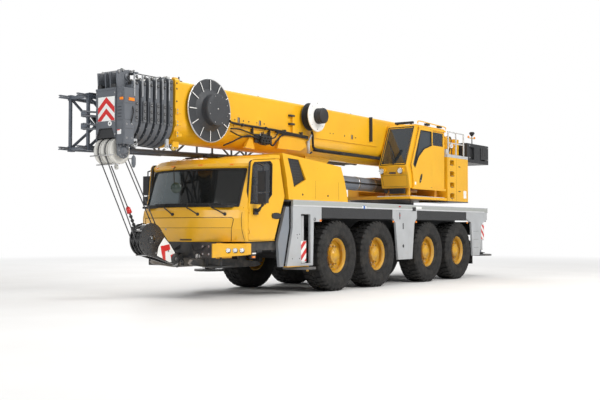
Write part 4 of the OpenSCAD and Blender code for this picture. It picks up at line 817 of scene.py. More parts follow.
# Seats with headrests, and a console between them
lean = Matrix.Rotation(math.radians(-8), 3, "X")
for x in (-0.62, 0.62):
    p.box((x - 0.22, FA - 2.30, 1.72), (x + 0.22, FA - 2.20, 2.30), m_seat, spin=lean)
    p.box((x - 0.12, FA - 2.28, 2.33), (x + 0.12, FA - 2.21, 2.50), m_seat, spin=lean)
p.box((-0.18, -4.2, 1.25), (0.18, -3.4, 1.62), m_plastic)
p.make("cab_inside", "carrier", bevel=0.012)

p = Part()
# Roof: flat plates, a black lamp, and the marker lamps of the visor
p.box((0.02, -4.04, 2.69), (0.13, -3.93, 2.755), m_plastic)
p.box((-0.30, -4.20, 2.672), (-0.10, -3.98, 2.694), m_plastic)
p.box((0.25, -4.20, 2.668), (0.55, -3.92, 2.690), m_plastic)
p.rod((0.075, -3.985, 2.68), (0.075, -3.985, 2.70), 0.02, m_plastic, n=12)
for x in (-0.95, -0.35, 0.35, 0.95):
    c, half = Vector(nose(x, 2.505, 0.004)), Vector((0.05, 0.012, 0.012))
    p.box(c - half, c + half, m_orange)
p.make("cab_roof_lamps", "carrier", bevel=0.006)

for side_name, s in SIDES:
    p = Part()
    # Side window rubber and its dark frame
    win = [(-2.92, 1.775), (-2.48, 1.775), (-2.285, 1.96), (-2.27, 2.545), (-2.33, 2.59), (-2.81, 2.54),
           (-2.855, 2.48)]
    p.tube([(s * (CAB_X + 0.0015), FA + y, z) for y, z in win], 0.013, m_rubber, n=8, closed=True)
    # Handle bezel: a black oval
    p.prism([(FA - 2.13 + 0.155 * y, 1.555 + 0.062 * z) for y, z in circle(28, 1)], "X",
            s * (CAB_X - 0.002), s * (CAB_X + 0.006), m_plastic)
    p.rod((s * (CAB_X + 0.004), FA - 2.24, 1.555), (s * (CAB_X + 0.016), FA - 2.24, 1.555), 0.017, m_zinc)
    # Lower mirror mount: pad on the door and a bent arm up to the mirror
    p.lathe([(0.062, 0.0), (0.058, 0.020), (0.030, 0.030), (0.0, 0.032)], (s * CAB_X, FA - 2.76, 1.63),
            (s, 0, 0), m_plastic, n=24)
    p.tube(spline([(s * 1.315, FA - 2.76, 1.63), (s * 1.38, FA - 2.77, 1.64), (s * 1.44, FA - 2.79, 1.70),
                   (s * 1.495, FA - 2.80, 1.80)], 5), 0.017, m_plastic, n=10)
    # Mirror faces, which look back, and their rims
    for z0, z1 in ((1.99, 2.38), (1.78, 1.965)):
        p.box((s * 1.413, FA - 2.745, z0 + 0.013), (s * 1.577, FA - 2.738, z1 - 0.013), m_chrome)
        p.box((s * 1.42, FA - 2.842, z0 + 0.03), (s * 1.57, FA - 2.834, z1 - 0.03), m_plastic)
    p.make(f"door_trim_{side_name}", f"door_{side_name}", bevel=0.003)
    # Hinges at the door's front edge, on the cab
    p = Part()
    x = s * (CAB_X + 0.004)
    for z in (1.25, 1.62):
        p.rod((x, FA - 2.955, z - 0.035), (x, FA - 2.955, z + 0.035), 0.011, m_yellow, n=12)
    p.make(f"door_hinges_{side_name}", "carrier")

for side_name, s in SIDES:
    p = Part()
    # Three round lamps in each yellow lamp box
    normal = Vector((s * 0.74, -0.66, 0))
    for x, y in ((1.070, -3.285), (1.150, -3.185), (1.230, -3.085)):
        at = Vector((s * x, FA + y, 0.915)) + normal * 0.001
        p.lathe([(0.048, -0.02), (0.048, 0.004), (0.043, 0.008), (0.037, 0.004), (0.036, -0.008),
                 (0.0, -0.012)], at, normal, m_chrome, n=28, mats=[m_plastic] * 2 + [m_chrome] * 3)
        p.lathe([(0.036, -0.004), (0.028, 0.004), (0.0, 0.008)], at, normal, m_clear, n=28)
    # Marker lamp and white reflector behind the lamp box
    p.box((s * 1.245, -4.04, 0.765), (s * 1.272, -3.965, 0.80), m_orange)
    p.box((s * 1.245, -4.04, 0.835), (s * 1.262, -3.93, 0.86), m_label)
    p.box((s * 1.20, -4.06, 0.75), (s * 1.246, -3.92, 0.90), m_dark)
    # Cab mounts under the cab floor
    for y in (-3.75, -3.3):
        p.rod((s * 1.05, y, 0.93), (s * 1.05, y, 1.05), 0.055, m_rubber, n=18)
        p.box((s * 0.95, y - 0.08, 0.86), (s * 1.20, y + 0.08, 0.93), m_dark)
    p.make(f"bumper_lamps_{side_name}", "carrier", bevel=0.003)

p = Part()
# Tow eye, hoses and clips on the black cross member
for x in (-0.35, 0.30):
    loop = spline([(x, FA - 3.41, 1.00), (x + 0.05, FA - 3.44, 0.93), (x + 0.15, FA - 3.45, 0.905),
                   (x + 0.24, FA - 3.44, 0.93), (x + 0.33, FA - 3.41, 0.99)], 5)
    p.tube(loop, 0.009, m_rubber, n=8)
for i in range(7):
    p.lathe([(0.026, 0), (0.026, 0.01), (0.018, 0.013), (0, 0.013)],
            (-0.12 + i * 0.012, FA - 3.41, 0.93 + i * 0.006), (0.3, -1, 0), m_plastic, n=14)
for x in (-0.75, -0.6, 0.55, 0.7):
    for z in (0.84, 0.98):
        p.bolt((x, FA - 3.40, z), FORE, 0.014, m_zinc)
for s in (1, -1):
    p.lathe([(0.030, -0.02), (0.052, 0.0), (0.052, 0.03), (0.030, 0.05), (0.030, -0.02)],
            (s * 0.45, FA - 3.44, 0.80), ACROSS, m_zinc, n=24)
p.make("bumper_fittings", "carrier")

p = Part()
# Bolts along the grey beams, and the step below the nose
for s in (1, -1):
    for i in range(9):
        p.bolt((s * 0.496, FA - 3.55 + i * 0.22, 0.68 - i * 0.014), (s, 0, 0), 0.011, m_zinc)
    p.box((s * 0.55, FA - 3.30, 0.60), (s * 0.95, FA - 3.02, 0.625), m_dark)
    for x in (0.57, 0.90):
        p.box((s * x, FA - 3.32, 0.625), (s * (x + 0.03), FA - 3.29, 0.78), m_dark)
p.make("under_nose_fittings", "carrier", bevel=0.002)


def windscreen():
    """Pane with a painted reflection of a pale sky on one side, and the dark cab showing on the other."""
    m = Mat("windscreen_glass").set(rough=0.05, coat_rough=0.03, spec=0.4, alpha=0.88)
    lean = m.math("ADD", m.axis("X"), m.math("MULTIPLY", m.axis("Z"), 0.22))
    # Painted reflection: towards one side the pane is painted paler and bluer, with more coat, as a
    # mirrored sky
    painted_sky_reflection = m.span(lean, 0.38, 0.30)
    wander = m.noise(0.9, 2)
    m.colour(m.mix(painted_sky_reflection, m.ramp(wander, [(0.3, (0.006, 0.007, 0.007)), (0.7, (0.014, 0.014, 0.013))]),
                   m.ramp(wander, [(0.3, (0.075, 0.105, 0.118)), (0.7, (0.11, 0.145, 0.16))])))
    m.link(m.math("MULTIPLY_ADD", painted_sky_reflection, 0.55, 0.25), m.b.inputs["Coat Weight"])
    m.bump(m.noise(3, 1), 0.02, 0.002)
    return m.m


dress("cab_glass", windscreen())

# ---------------------------------------------------------------- boom head
HEAD_Y = -6.525
HEAD_HI, HEAD_LO = Vector((0, -6.265, 3.95)), Vector((0, -6.38, 2.65))
p = Part()
y = HEAD_Y
# Chevrons: a white plate and two red arrowheads
p.box((-0.19, y - 0.003, 3.165), (0.225, y, 3.585), m_label)
for pts in ([(0.018, 3.582), (0.222, 3.40), (0.222, 3.29), (0.018, 3.475), (-0.187, 3.29), (-0.187, 3.40)],
            [(0.018, 3.385), (0.222, 3.20), (0.222, 3.168), (0.145, 3.168), (0.018, 3.283), (-0.108, 3.168),
             (-0.187, 3.168), (-0.187, 3.20)]):
    p.prism(pts, "Y", y - 0.005, y - 0.001, m_red)
# Rope-end washer, frame of the lower opening, and plate edges; a dark disc in the washer's hole and a dark
# plate set back in the opening are painted shade
p.lathe([(0.018, -0.002), (0.018, 0.012), (0.042, 0.012), (0.045, 0.006), (0.045, -0.002)],
        (0.111, y, 3.118), FORE, m_label, n=32)
p.lathe([(0.018, 0.004), (0.0, 0.004)], (0.111, y, 3.118), FORE, m_dark, n=20)
p.tube([(-0.22, y - 0.002, 2.872), (-0.155, y - 0.002, 3.036), (0.155, y - 0.002, 3.036),
        (0.22, y - 0.002, 2.872)], 0.008, m_dark, n=6)
p.prism([(-0.205, 2.874), (-0.150, 3.028), (0.150, 3.028), (0.205, 2.874)], "Y", y + 0.012, y + 0.03,
        m_dark)
for x in (-0.225, 0.225):
    for z in (2.93, 3.15, 3.40, 3.65):
        p.bolt((x, y, z), FORE, 0.011, m_zinc)
p.box((-0.245, y - 0.010, 3.70), (0.245, y + 0.01, 3.735), m_bluegrey)
p.make("head_front_plate", "boom_section_6", bevel=0.0015)

p = Part()
# Side box: lid frame, ribs, lock, blank label, lamp
# xa and xb are its sides across, yf its front and yb its back
xa, xb, yf, yb = 0.247, 0.425, HEAD_Y + 0.02, -6.264
for z0, z1 in ((3.46, 3.70), (3.18, 3.44), (3.03, 3.16), (2.79, 3.01)):
    p.box((xa + 0.02, yf - 0.006, z0), (xb - 0.015, yf + 0.004, z1), m_bluegrey)
    p.box((xb - 0.004, yf + 0.018, z0), (xb + 0.006, yb - 0.02, z1), m_bluegrey)
for i in range(4):
    p.box((xa + 0.04, yf - 0.012, 3.22 + i * 0.055), (xb - 0.05, yf - 0.004, 3.232 + i * 0.055), m_dark)
p.box((xa + 0.03, yf - 0.009, 2.925), (xa + 0.125, yf - 0.004, 3.005), m_label)
p.box((xa + 0.03, yf - 0.010, 2.988), (xa + 0.095, yf - 0.004, 3.004), m_red)
p.lathe([(0.055, 0), (0.055, 0.012), (0.040, 0.024), (0, 0.028)], (0.335, yf, 3.60), FORE, m_bluegrey, n=28)
p.box((xb, -6.40, 3.505), (xb + 0.022, -6.275, 3.56), m_orange)
p.box((xa + 0.10, yf - 0.024, 3.51), (xb - 0.01, yf - 0.004, 3.555), m_orange)
for z in (3.10, 2.86):
    for y in (-6.44, -6.32):
        p.bolt((xb + 0.006, y, z), ACROSS, 0.013, m_zinc)
p.tube(spline([(xb, -6.30, 3.42), (xb + 0.03, -6.31, 3.33), (xb + 0.03, -6.33, 3.22), (xb, -6.34, 3.12)],
              6), 0.010, m_rubber, n=8)
p.make("head_side_box", "boom_section_6", bevel=0.003)

p = Part()
# Lower sheaves: hubs, retaining bars, eye; the weight of the hoist limit switch on its line
_, ly, lz = HEAD_LO
for s in (1, -1):
    x = s * 0.275
    p.lathe([(0.135, 0.0), (0.135, 0.014), (0.120, 0.022), (0.075, 0.022), (0.072, 0.045), (0.045, 0.052),
             (0.0, 0.054)], (x, ly, lz), (s, 0, 0), m_bluegrey, n=40)
    for y, z in circle(8, 0.103, ly, lz):
        p.bolt((x + s * 0.021, y, z), (s, 0, 0), 0.010, m_zinc)
for a in (math.radians(200), math.radians(250), math.radians(330)):
    y, z = ly + 0.245 * math.cos(a), lz + 0.245 * math.sin(a)
    p.rod((-0.29, y, z), (0.29, y, z), 0.010, m_zinc, n=12)
for i in range(-2, 3):
    p.lathe([(0.206, -0.035), (0.224, -0.033), (0.228, -0.030), (0.203, -0.008), (0.203, 0.008),
             (0.228, 0.030), (0.224, 0.033), (0.206, 0.035)], (i * 0.086, ly, lz), ACROSS, m_pale, n=64)
p.lathe([(0.018, -0.012), (0.046, -0.010), (0.046, 0.010), (0.018, 0.012), (0.018, -0.012)],
        (0.12, ly, 2.375), (0, 1, 0.2), m_pale, n=24)
p.rod((0.12, ly, 2.41), (0.12, ly, 2.45), 0.014, m_pale, n=10)
p.tube([(0.375, -6.22, 2.76), (0.375, -6.22, 2.56)], 0.004, m_wire, n=6)
p.lathe([(0.0, 0.0), (0.022, 0.01), (0.038, 0.06), (0.038, 0.17), (0.025, 0.20), (0.008, 0.22)],
        (0.375, -6.22, 2.36), UP, m_bluegrey, n=24)
p.make("head_lower_sheaves", "boom_section_6")

p = Part()
# Upper sheaves' cheeks and what stands on top of the head
_, uy, uz = HEAD_HI
for x in (-0.13, 0.13):
    p.lathe([(0.07, -0.025), (0.11, -0.022), (0.116, -0.020), (0.098, -0.006), (0.098, 0.006),
             (0.116, 0.020), (0.11, 0.022), (0.07, 0.025)], (x + 0.005, uy, uz), ACROSS, m_pale)
for s in (1, -1):
    x = s * 0.247
    p.lathe([(0.060, 0), (0.060, 0.012), (0.034, 0.026), (0, 0.028)], (x, uy, uz), (s, 0, 0), m_bluegrey,
            n=28)
for y, z in ((-6.46, 4.01), (-6.36, 4.05), (-6.12, 4.07)):
    p.rod((-0.27, y, z), (0.27, y, z), 0.012, m_zinc, n=12)
    for s in (1, -1):
        p.bolt((s * 0.262, y, z), (s, 0, 0), 0.016, m_zinc)
p.box((-0.05, -6.22, 4.03), (0.05, -6.10, 4.11), m_bluegrey)
p.rod((0.0, -6.16, 4.10), (0.0, -6.16, 4.135), 0.022, m_green, n=16)
p.box((0.26, -6.30, 3.74), (0.40, -6.12, 3.80), m_bluegrey)
p.box((0.28, -6.28, 3.80), (0.36, -6.20, 3.86), m_plastic)
p.tube(spline([(0.33, -6.24, 3.84), (0.30, -6.30, 3.93), (0.27, -6.20, 4.00), (0.20, -6.14, 4.08)], 6),
       0.009, m_rubber, n=8)
for x in (-0.215, 0.12):
    p.box((x, HEAD_Y + 0.005, 3.735), (x + 0.095, HEAD_Y + 0.10, 3.80), m_dark)
p.make("head_top_fittings", "boom_section_6", bevel=0.003)

# ---------------------------------------------------------------- collars of the telescopic sections
BASE_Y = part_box("boom_base")[0].y
COLLAR_PITCH = BASE_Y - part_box("boom_section_1")[0].y


def collar(k):
    """Bolts, edge strips, pads and rollers round one section's collar."""
    p = Part()
    front = BASE_Y - COLLAR_PITCH * k
    mid = front + 0.055
    w = 0.46 if k < 6 else 0.43
    top = min(4.045 if k < 6 else 3.99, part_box(f"boom_section_{k}")[1].z)
    for s in (1, -1):
        x = s * w
        # Pale edge strip down the upper half of the side
        p.box((x - s * 0.02, front - 0.004, 3.60), (x + s * 0.004, front + 0.020, 3.985), m_edge)
        for z in (3.94, 3.83, 3.47, 3.35, 3.23):
            p.lathe([(0.030, 0), (0.030, 0.006), (0.021, 0.009), (0.0, 0.010)], (x, mid, z), (s, 0, 0),
                    m_dark, n=16)
            p.bolt((x + s * 0.008, mid, z), (s, 0, 0), 0.011, m_zinc, washer=False)
        p.box((x - s * 0.01, mid - 0.034, 3.16), (x + s * 0.006, mid + 0.034, 3.53), m_steel_grey)
    # Heads of the pad bolts round the belly
    for x, z in circle(24, 1)[1:12] if k < 6 else ():
        p.bolt((x * w * 0.985, front - 0.001, 3.29 - z * 0.452), FORE, 0.009, m_zinc)
    # Rollers and pads on the top edge
    for x in (-0.31, -0.10, 0.10, 0.31):
        p.box((x - 0.045, mid - 0.030, top - 0.010), (x + 0.045, mid + 0.030, top + 0.022), m_dark)
        p.lathe([(0.020, -0.04), (0.024, -0.03), (0.024, 0.03), (0.020, 0.04)], (x, mid, top + 0.032),
                ACROSS, m_pale if k % 2 else m_zinc, n=16)
    p.box((0.36, mid - 0.02, top - 0.004), (0.44, mid + 0.03, top + 0.03), m_label if k % 2 else m_bluegrey)
    p.rod((-0.42, mid, top + 0.004), (0.42, mid, top + 0.004), 0.010, m_zinc, n=10)
    p.make(f"collar_{k}_fittings", f"boom_section_{k}", bevel=0.0015)


for k in range(1, 7):
    collar(k)


def eye(p, at, r, mat):
    """A thick ring across the machine."""
    hole, w = r * 0.45, 0.015
    p.lathe([(hole, -w), (r, -w), (r, w), (hole, w), (hole, -w)], at, ACROSS, mat, n=24)


p = Part()
eye(p, (0.34, -6.16, 2.775), 0.055, m_lightgrey)
p.box((0.325, -6.20, 2.79), (0.355, -6.12, 2.87), m_lightgrey)
p.make("lug_section_6", "boom_section_6")
p = Part()
eye(p, (0.34, -5.37, 2.80), 0.045, m_lightgrey)
p.box((0.322, -5.40, 2.81), (0.358, -5.34, 2.93), m_lightgrey)
p.box((0.325, -5.43, 2.745), (0.355, -5.38, 2.765), m_label)
p.make("lug_section_1", "boom_section_1")

# ---------------------------------------------------------------- boom base
WALL_X = 0.400
p = Part()
# Front flange: stepped brackets and bolts, and the lug below
for z in (3.44, 3.22, 3.02):
    p.box((0.455, -5.272, z - 0.055), (0.478, -5.19, z + 0.055), m_yellow)
    p.box((0.455, -5.20, z - 0.035), (0.474, -5.12, z + 0.02), m_yellow)
    for rise in (0.028, -0.028):
        p.bolt((0.478, -5.235, z + rise), ACROSS, 0.012, m_zinc)
eye(p, (0.335, -5.19, 2.79), 0.055, m_bronze)
eye(p, (0.335, -5.11, 2.80), 0.040, m_bronze)
p.box((0.318, -5.23, 2.80), (0.352, -5.07, 2.90), m_yellow)
for z in (3.95, 3.85, 3.62):
    p.bolt((0.461, -5.24, z), ACROSS, 0.013, m_dark)
for x in (-0.36, -0.12, 0.12, 0.36):
    p.box((x - 0.05, -5.26, 4.03), (x + 0.05, -5.16, 4.062), m_yellow)
    p.bolt((x, -5.21, 4.062), UP, 0.014, m_zinc)
# Small mast and hose guide just behind the flange
p.rod((0.30, -5.02, 4.02), (0.30, -5.02, 4.11), 0.014, m_dark, n=12)
p.box((0.25, -5.06, 4.02), (0.35, -4.98, 4.035), m_dark)
p.make("base_flange_fittings", "boom_base", bevel=0.003)


def port(p, y, z, dots):
    """A square sight opening in the side, with the bolts beside it; the dark plate in it, partly under a
    zinc cover, is painted shade in the opening.
    """
    p.lathe([(0.125, 0.0), (0.123, 0.0025), (0.118, 0.003), (0.0, 0.003)], (WALL_X, y, z), ACROSS, m_yellow,
            n=40)
    p.plate(WALL_X, y - 0.034, z - 0.052, y + 0.034, z + 0.052, m_dark, 0.0045, sink=-0.002)
    p.plate(WALL_X, y - 0.028, z - 0.046, y + 0.004, z + 0.046, m_zinc, 0.0055, sink=-0.0035)
    for d in dots:
        p.lathe([(0.015, 0.0), (0.013, 0.005), (0.0, 0.006)], (WALL_X + 0.0025, y + d, z - 0.004), ACROSS,
                m_dark, n=14)


p = Part()
port(p, -3.408, 3.462, (-0.12, 0.15, 0.32))
port(p, -2.728, 3.466, (-0.10, 0.142))
port(p, 0.776, 3.469, (-0.32, 0.167))
for y in (-0.145, -0.019, 0.466):
    p.lathe([(0.016, 0.0), (0.014, 0.004), (0.0, 0.005)], (WALL_X, y, 3.48), ACROSS, m_dark, n=14)
# Yellow stand-off plates for the hose runs
p.prism([(-2.16, 2.99), (-2.05, 3.30), (-1.22, 3.32), (-1.12, 3.10), (-1.35, 2.99)], "X", 0.372, 0.425,
        m_yellow)
p.prism([(-3.20, 2.93), (-3.06, 3.17), (-2.98, 3.17), (-2.90, 2.92)], "X", 0.34, 0.405, m_yellow)
p.plate(WALL_X, -2.92, 3.05, -2.36, 3.23, m_dark, 0.03)
for y in (-3.02, -2.46):
    p.plate(WALL_X, y - 0.012, 3.22, y + 0.012, 3.385, m_dark, 0.062)
p.make("boom_side_ports", "boom_base", bevel=0.002)

p = Part()
# Hoses along the side
run = [(0.48, -3.78, 3.40), (0.455, -3.60, 3.375), (0.45, -3.00, 3.365), (0.45, -2.256, 3.358),
       (0.455, -1.70, 3.335), (0.46, -1.114, 3.312)]
p.tube(spline(run, 8), 0.023, m_rubber, n=10)
p.tube([(v.x, v.y, v.z - 0.032) for v in spline(run[3:], 6)], 0.020, m_rubber, n=10)
for path, r in (
        ([(0.46, -3.72, 3.26), (0.45, -3.45, 3.275), (0.44, -3.10, 3.23), (0.45, -2.80, 3.165)], 0.015),
        ([(0.46, -3.72, 3.21), (0.44, -3.45, 3.15), (0.42, -3.25, 3.14), (0.44, -2.95, 3.17),
          (0.45, -2.80, 3.15)], 0.015),
        ([(0.34, -3.80, 2.93), (0.41, -3.60, 3.02), (0.43, -3.42, 3.10), (0.44, -3.15, 3.17),
          (0.45, -2.82, 3.13)], 0.016),
        ([(0.45, -2.50, 3.10), (0.45, -2.36, 3.03), (0.45, -2.22, 3.14), (0.455, -2.02, 3.275),
          (0.45, -1.72, 3.30)], 0.018),
        ([(0.45, -2.48, 3.17), (0.46, -2.30, 3.20), (0.46, -2.20, 3.30), (0.455, -2.0, 3.325)], 0.013)):
    p.tube(spline(path, 7), r, m_rubber, n=10)
for y in (-3.35, -2.6, -1.95, -1.35):
    p.plate(WALL_X, y - 0.02, 3.335, y + 0.02, 3.395, m_dark, 0.082)
# From the cable reel down to the dark strip that runs back to the pivot
p.tube(spline([(0.50, -1.02, 3.44), (0.49, -0.97, 3.34), (0.47, -0.93, 3.18), (0.45, -0.86, 3.09),
               (0.44, -0.60, 3.062), (0.43, 0.30, 3.055)], 7), 0.026, m_rubber, n=10)
p.prism([(-0.75, 3.03), (-0.70, 3.085), (0.30, 3.085), (4.55, 3.070), (4.55, 3.010), (0.30, 3.020)], "X",
        0.33, 0.432, m_rubber)
p.rod((0.45, -1.076, 2.955), (0.45, -1.076, 3.225), 0.034, m_lightgrey, n=20)
p.rod((0.45, -1.02, 2.96), (0.45, -0.95, 2.99), 0.020, m_dark, n=12)
p.tube(spline([(0.45, -1.06, 3.22), (0.47, -1.03, 3.30), (0.49, -0.99, 3.38)], 6), 0.020, m_lightgrey, n=10)
p.make("boom_side_hoses", "boom_base")

p = Part()
# Valve block with its unions
p.box((0.41, -2.80, 3.06), (0.50, -2.52, 3.20), m_plastic)
p.box((0.42, -2.74, 3.19), (0.49, -2.60, 3.24), m_plastic)
for i in range(6):
    y = -2.78 + i * 0.048
    p.rod((0.50, y, 3.16 - (i % 2) * 0.055), (0.535, y, 3.16 - (i % 2) * 0.055), 0.017, m_plastic, n=8)
    p.rod((0.455, y, 3.20), (0.455, y, 3.25 + 0.02 * (i % 3)), 0.013, m_zinc if i % 3 == 0 else m_plastic,
          n=8)
    p.rod((0.47, y, 3.02 + 0.01 * (i % 2)), (0.47, y, 3.07), 0.014, m_plastic, n=8)
p.tube(spline([(0.53, -2.78, 3.15), (0.55, -2.84, 3.11), (0.50, -2.88, 3.06), (0.45, -2.80, 3.03),
               (0.46, -2.60, 3.02)], 6), 0.010, m_rubber, n=8)
p.make("boom_valve_block", "boom_base", bevel=0.003)

p = Part()
# Dark upright fin of the pivoting cable guide, and the bracket by the cable reel
p.plate(WALL_X, 1.555, 3.42, 1.607, 4.015, m_plastic, 0.070)
p.plate(WALL_X, 1.60, 3.50, 1.66, 3.93, m_yellow, 0.015)
for z in (3.70, 3.52):
    p.plate(WALL_X, -1.76, z, -1.60, z + 0.04, m_dark, 0.07)
p.plate(WALL_X, -1.66, 3.34, -1.60, 3.74, m_yellow, 0.06)
p.make("boom_side_brackets", "boom_base", bevel=0.003)

# ---------------------------------------------------------------- reels
HR = middle("hose_reel")
HR.x = 0
p = Part()
# Pale spokes, the outer rim, and the hub's cover with its bolts
for i in range(12):
    p.box(HR + Vector((0.4852, -0.0075, 0.385)), HR + Vector((0.4885, 0.0075, 0.583)), m_label,
          spin=Matrix.Rotation(2 * math.pi * i / 12, 3, "X"), about=HR)
p.lathe([(0.594, 0.446), (0.606, 0.449), (0.610, 0.461), (0.606, 0.473), (0.592, 0.476), (0.590, 0.472)],
        HR, ACROSS, m_edge, n=120)
p.lathe([(0.302, 0.60), (0.306, 0.605), (0.306, 0.672), (0.300, 0.688), (0.285, 0.694), (0.20, 0.6955),
         (0.055, 0.697), (0.0, 0.697)], HR, ACROSS, m_reel, n=96)
for y, z in circle(8, 0.262, HR.y, HR.z, turn=0.5):
    p.bolt((0.695, y, z), ACROSS, 0.009, m_zinc)
p.lathe([(0.016, 0.0), (0.013, 0.008), (0.0, 0.009)], (0.696, HR.y - 0.02, HR.z + 0.01), ACROSS, m_zinc,
        n=16)
p.make("hose_reel_details", "hose_reel")

CR = Vector((0.0, -1.025, 3.76))
dress("cable_reel", zoned("cable_reel_paint", INK, [
    ((0.80, 0.80, 0.80), (0.6285, None, None), (0.6535, None, None))], rough=0.4))
p = Part()
# Nine turns of cable between two flanges, and the stack of slip rings on the outside
turns = []
for x in [0.452 + i * 0.0195 for i in range(9)]:
    turns += [(0.268, x), (0.283, x + 0.005), (0.283, x + 0.0145)]
p.lathe(turns + [(0.268, 0.628)], CR, ACROSS, m_rubber, n=72)
p.lathe([(0.268, 0.443), (0.30, 0.440), (0.305, 0.446), (0.30, 0.452), (0.268, 0.454)], CR, ACROSS,
        m_plastic, n=72)
p.lathe([(0.326, 0.626), (0.336, 0.630), (0.337, 0.641), (0.336, 0.652), (0.326, 0.656), (0.24, 0.657),
         (0.17, 0.675)], CR, ACROSS, m_white, n=96)
p.lathe([(0.158, 0.655), (0.172, 0.660), (0.172, 0.690), (0.150, 0.697), (0.150, 0.712), (0.170, 0.720),
         (0.170, 0.755), (0.150, 0.762), (0.150, 0.778), (0.168, 0.785), (0.168, 0.828), (0.155, 0.842),
         (0.0, 0.845)], CR, ACROSS, m_plastic, n=64)
for y, z in circle(8, 0.285, CR.y, CR.z):
    p.bolt((0.657, y, z), ACROSS, 0.009, m_zinc)
p.make("cable_reel_details", "cable_reel")

# ---------------------------------------------------------------- ropes and hook block
HB = Vector((0, -5.525, 1.11))
BLOCK_X, HOOK_Y, HOOK_Z = 0.130, -4.925, 0.75
HEAD_WIND, BLOCK_WIND = 0.236, 0.291
FALL_R, RUN_R = 0.0105, 0.0095
fall = (HB - HEAD_LO).normalized()
out = Vector((0, fall.z, -fall.y))


def aside(x):
    return Vector((x, 0, 0))


p = Part()
# Four falls, two on each side of the sheaves
for s in (1, -1):
    for sign, x in ((1, 0.086), (-1, 0.043)):
        p.tube(line(HEAD_LO + out * sign * HEAD_WIND + aside(s * x),
                    HB + out * sign * BLOCK_WIND + aside(s * 0.048)), FALL_R, m_wire, n=8)
# Dead end of the rope: socket and anchor link on top of the block
sock, anchor = Vector((0, -5.985, 1.665)), Vector((0, -5.815, 1.315))
p.tube(line(Vector((0, -6.388, 2.396)), sock, 10), FALL_R, m_wire, n=8)
d = (anchor - sock).normalized()
p.rod(sock - d * 0.01, sock + d * 0.085, 0.040, m_red, n=20, r2=0.046)
p.rod(sock - d * 0.03, sock - d * 0.01, 0.028, m_red, n=16)
p.rod(sock + d * 0.085, anchor, 0.017, m_plastic, n=12)
for t in (0.14, 0.22, 0.30, 0.36):
    p.rod(sock + d * t, sock + d * (t + 0.035), 0.030, m_plastic, n=12)
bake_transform(p.make("hoist_rope_falls"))

p = Part()
# Rope laid round the sheaves of the head and the block
for s in (1, -1):
    p.tube([HEAD_LO + aside(s * 0.086) + HEAD_WIND * (out * c - fall * d) for c, d in circle(32, 1)[:17]],
           FALL_R, m_wire, n=8)
p.make("rope_on_head_sheaves", "boom_section_6")
p = Part()
for s in (1, -1):
    p.tube([HB + aside(s * 0.048) + BLOCK_WIND * (out * c + fall * d) for c, d in circle(40, 1)[:21]],
           FALL_R, m_wire, n=8)
# Cheeks: pin caps, bolts, link plates, guards, latch
for s in (1, -1):
    x = s * BLOCK_X
    p.lathe([(0.085, 0), (0.085, 0.010), (0.066, 0.014), (0.062, 0.028), (0.0, 0.030)], (x, HB.y, HB.z),
            (s, 0, 0), m_black, n=36)
    for y, z in circle(4, 0.073, HB.y, HB.z, turn=0.5):
        p.bolt((x + s * 0.010, y, z), (s, 0, 0), 0.008, m_zinc)
    for i in range(9):
        a = math.radians(60 + 27 * i)
        p.bolt((x, HB.y + 0.265 * math.cos(a), HB.z + 0.265 * math.sin(a)), (s, 0, 0), 0.010, m_dark)
    p.lathe([(0.100, 0), (0.100, 0.016), (0.084, 0.026), (0.040, 0.030), (0.0, 0.030)],
            (s * (BLOCK_X + 0.001), HOOK_Y, HOOK_Z), (s, 0, 0), m_dark, n=36)
    p.bolt((s * (BLOCK_X + 0.030), HOOK_Y, HOOK_Z), (s, 0, 0), 0.020, m_zinc)
    for y, z in ((-5.10, 0.90), (-5.42, 0.87), (-5.17, 1.30)):
        p.bolt((x, y, z), (s, 0, 0), 0.014, m_zinc)
# Anchor lug between the cheeks, and rope guards
p.box((-0.045, -5.86, 1.27), (0.045, -5.74, 1.345), m_black)
p.rod((-0.10, -5.80, 1.29), (0.10, -5.80, 1.29), 0.020, m_zinc, n=14)
for y, z in ((-5.77, 1.27), (-5.30, 1.30), (-5.26, 0.80), (-5.66, 0.83)):
    p.rod((-0.128, y, z), (0.128, y, z), 0.012, m_zinc, n=10)
p.lathe([(0.060, 0), (0.064, 0.01), (0.064, 0.05), (0.050, 0.06), (0.036, 0.06)], (0, -4.80, 0.678),
        (0, 0.866, -0.5), m_zinc, n=24)
p.make("hook_block_details", "hook_block")

# Rope from the winch up and along the boom, in lengths that each join two neighbours
RUN_X, RUN_Z = 0.06, 4.066


def on_run(y, z=RUN_Z + 0.012):
    """A point on the rope's run along the top of the boom."""
    return Vector((RUN_X, y, z))


collars = [BASE_Y + 0.055 - COLLAR_PITCH * k for k in range(1, 7)]
bodies = ["superstructure", "boom_base"] + [f"boom_section_{k}" for k in range(1, 7)]
stops = [on_run(5.90, 3.712), on_run(4.95, RUN_Z)] + [on_run(y) for y in collars]
for i, (body_a, body_b, a, b) in enumerate(zip(bodies, bodies[1:], stops, stops[1:]), 1):
    p = Part()
    p.tube(line(a, b, 12), RUN_R, m_wire, n=8)
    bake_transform(p.make(f"hoist_rope_{i}"))
p = Part()
# Rope guides that stand on the boom
for y in (4.90, 1.2, -2.4, -4.95):
    for x in (RUN_X - 0.035, RUN_X + 0.035):
        p.box((x - 0.006, y - 0.03, 4.018), (x + 0.006, y + 0.03, 4.085), m_dark)
    p.rod((0.02, y, 4.048), (0.10, y, 4.048), 0.009, m_zinc, n=10)
p.make("rope_guides", "boom_base")
p = Part()
p.tube(line(on_run(collars[-1]), Vector((0.0, -6.33, 4.045)), 6), RUN_R, m_wire, n=8)
p.make("rope_to_head", "boom_section_6")
p = Part()
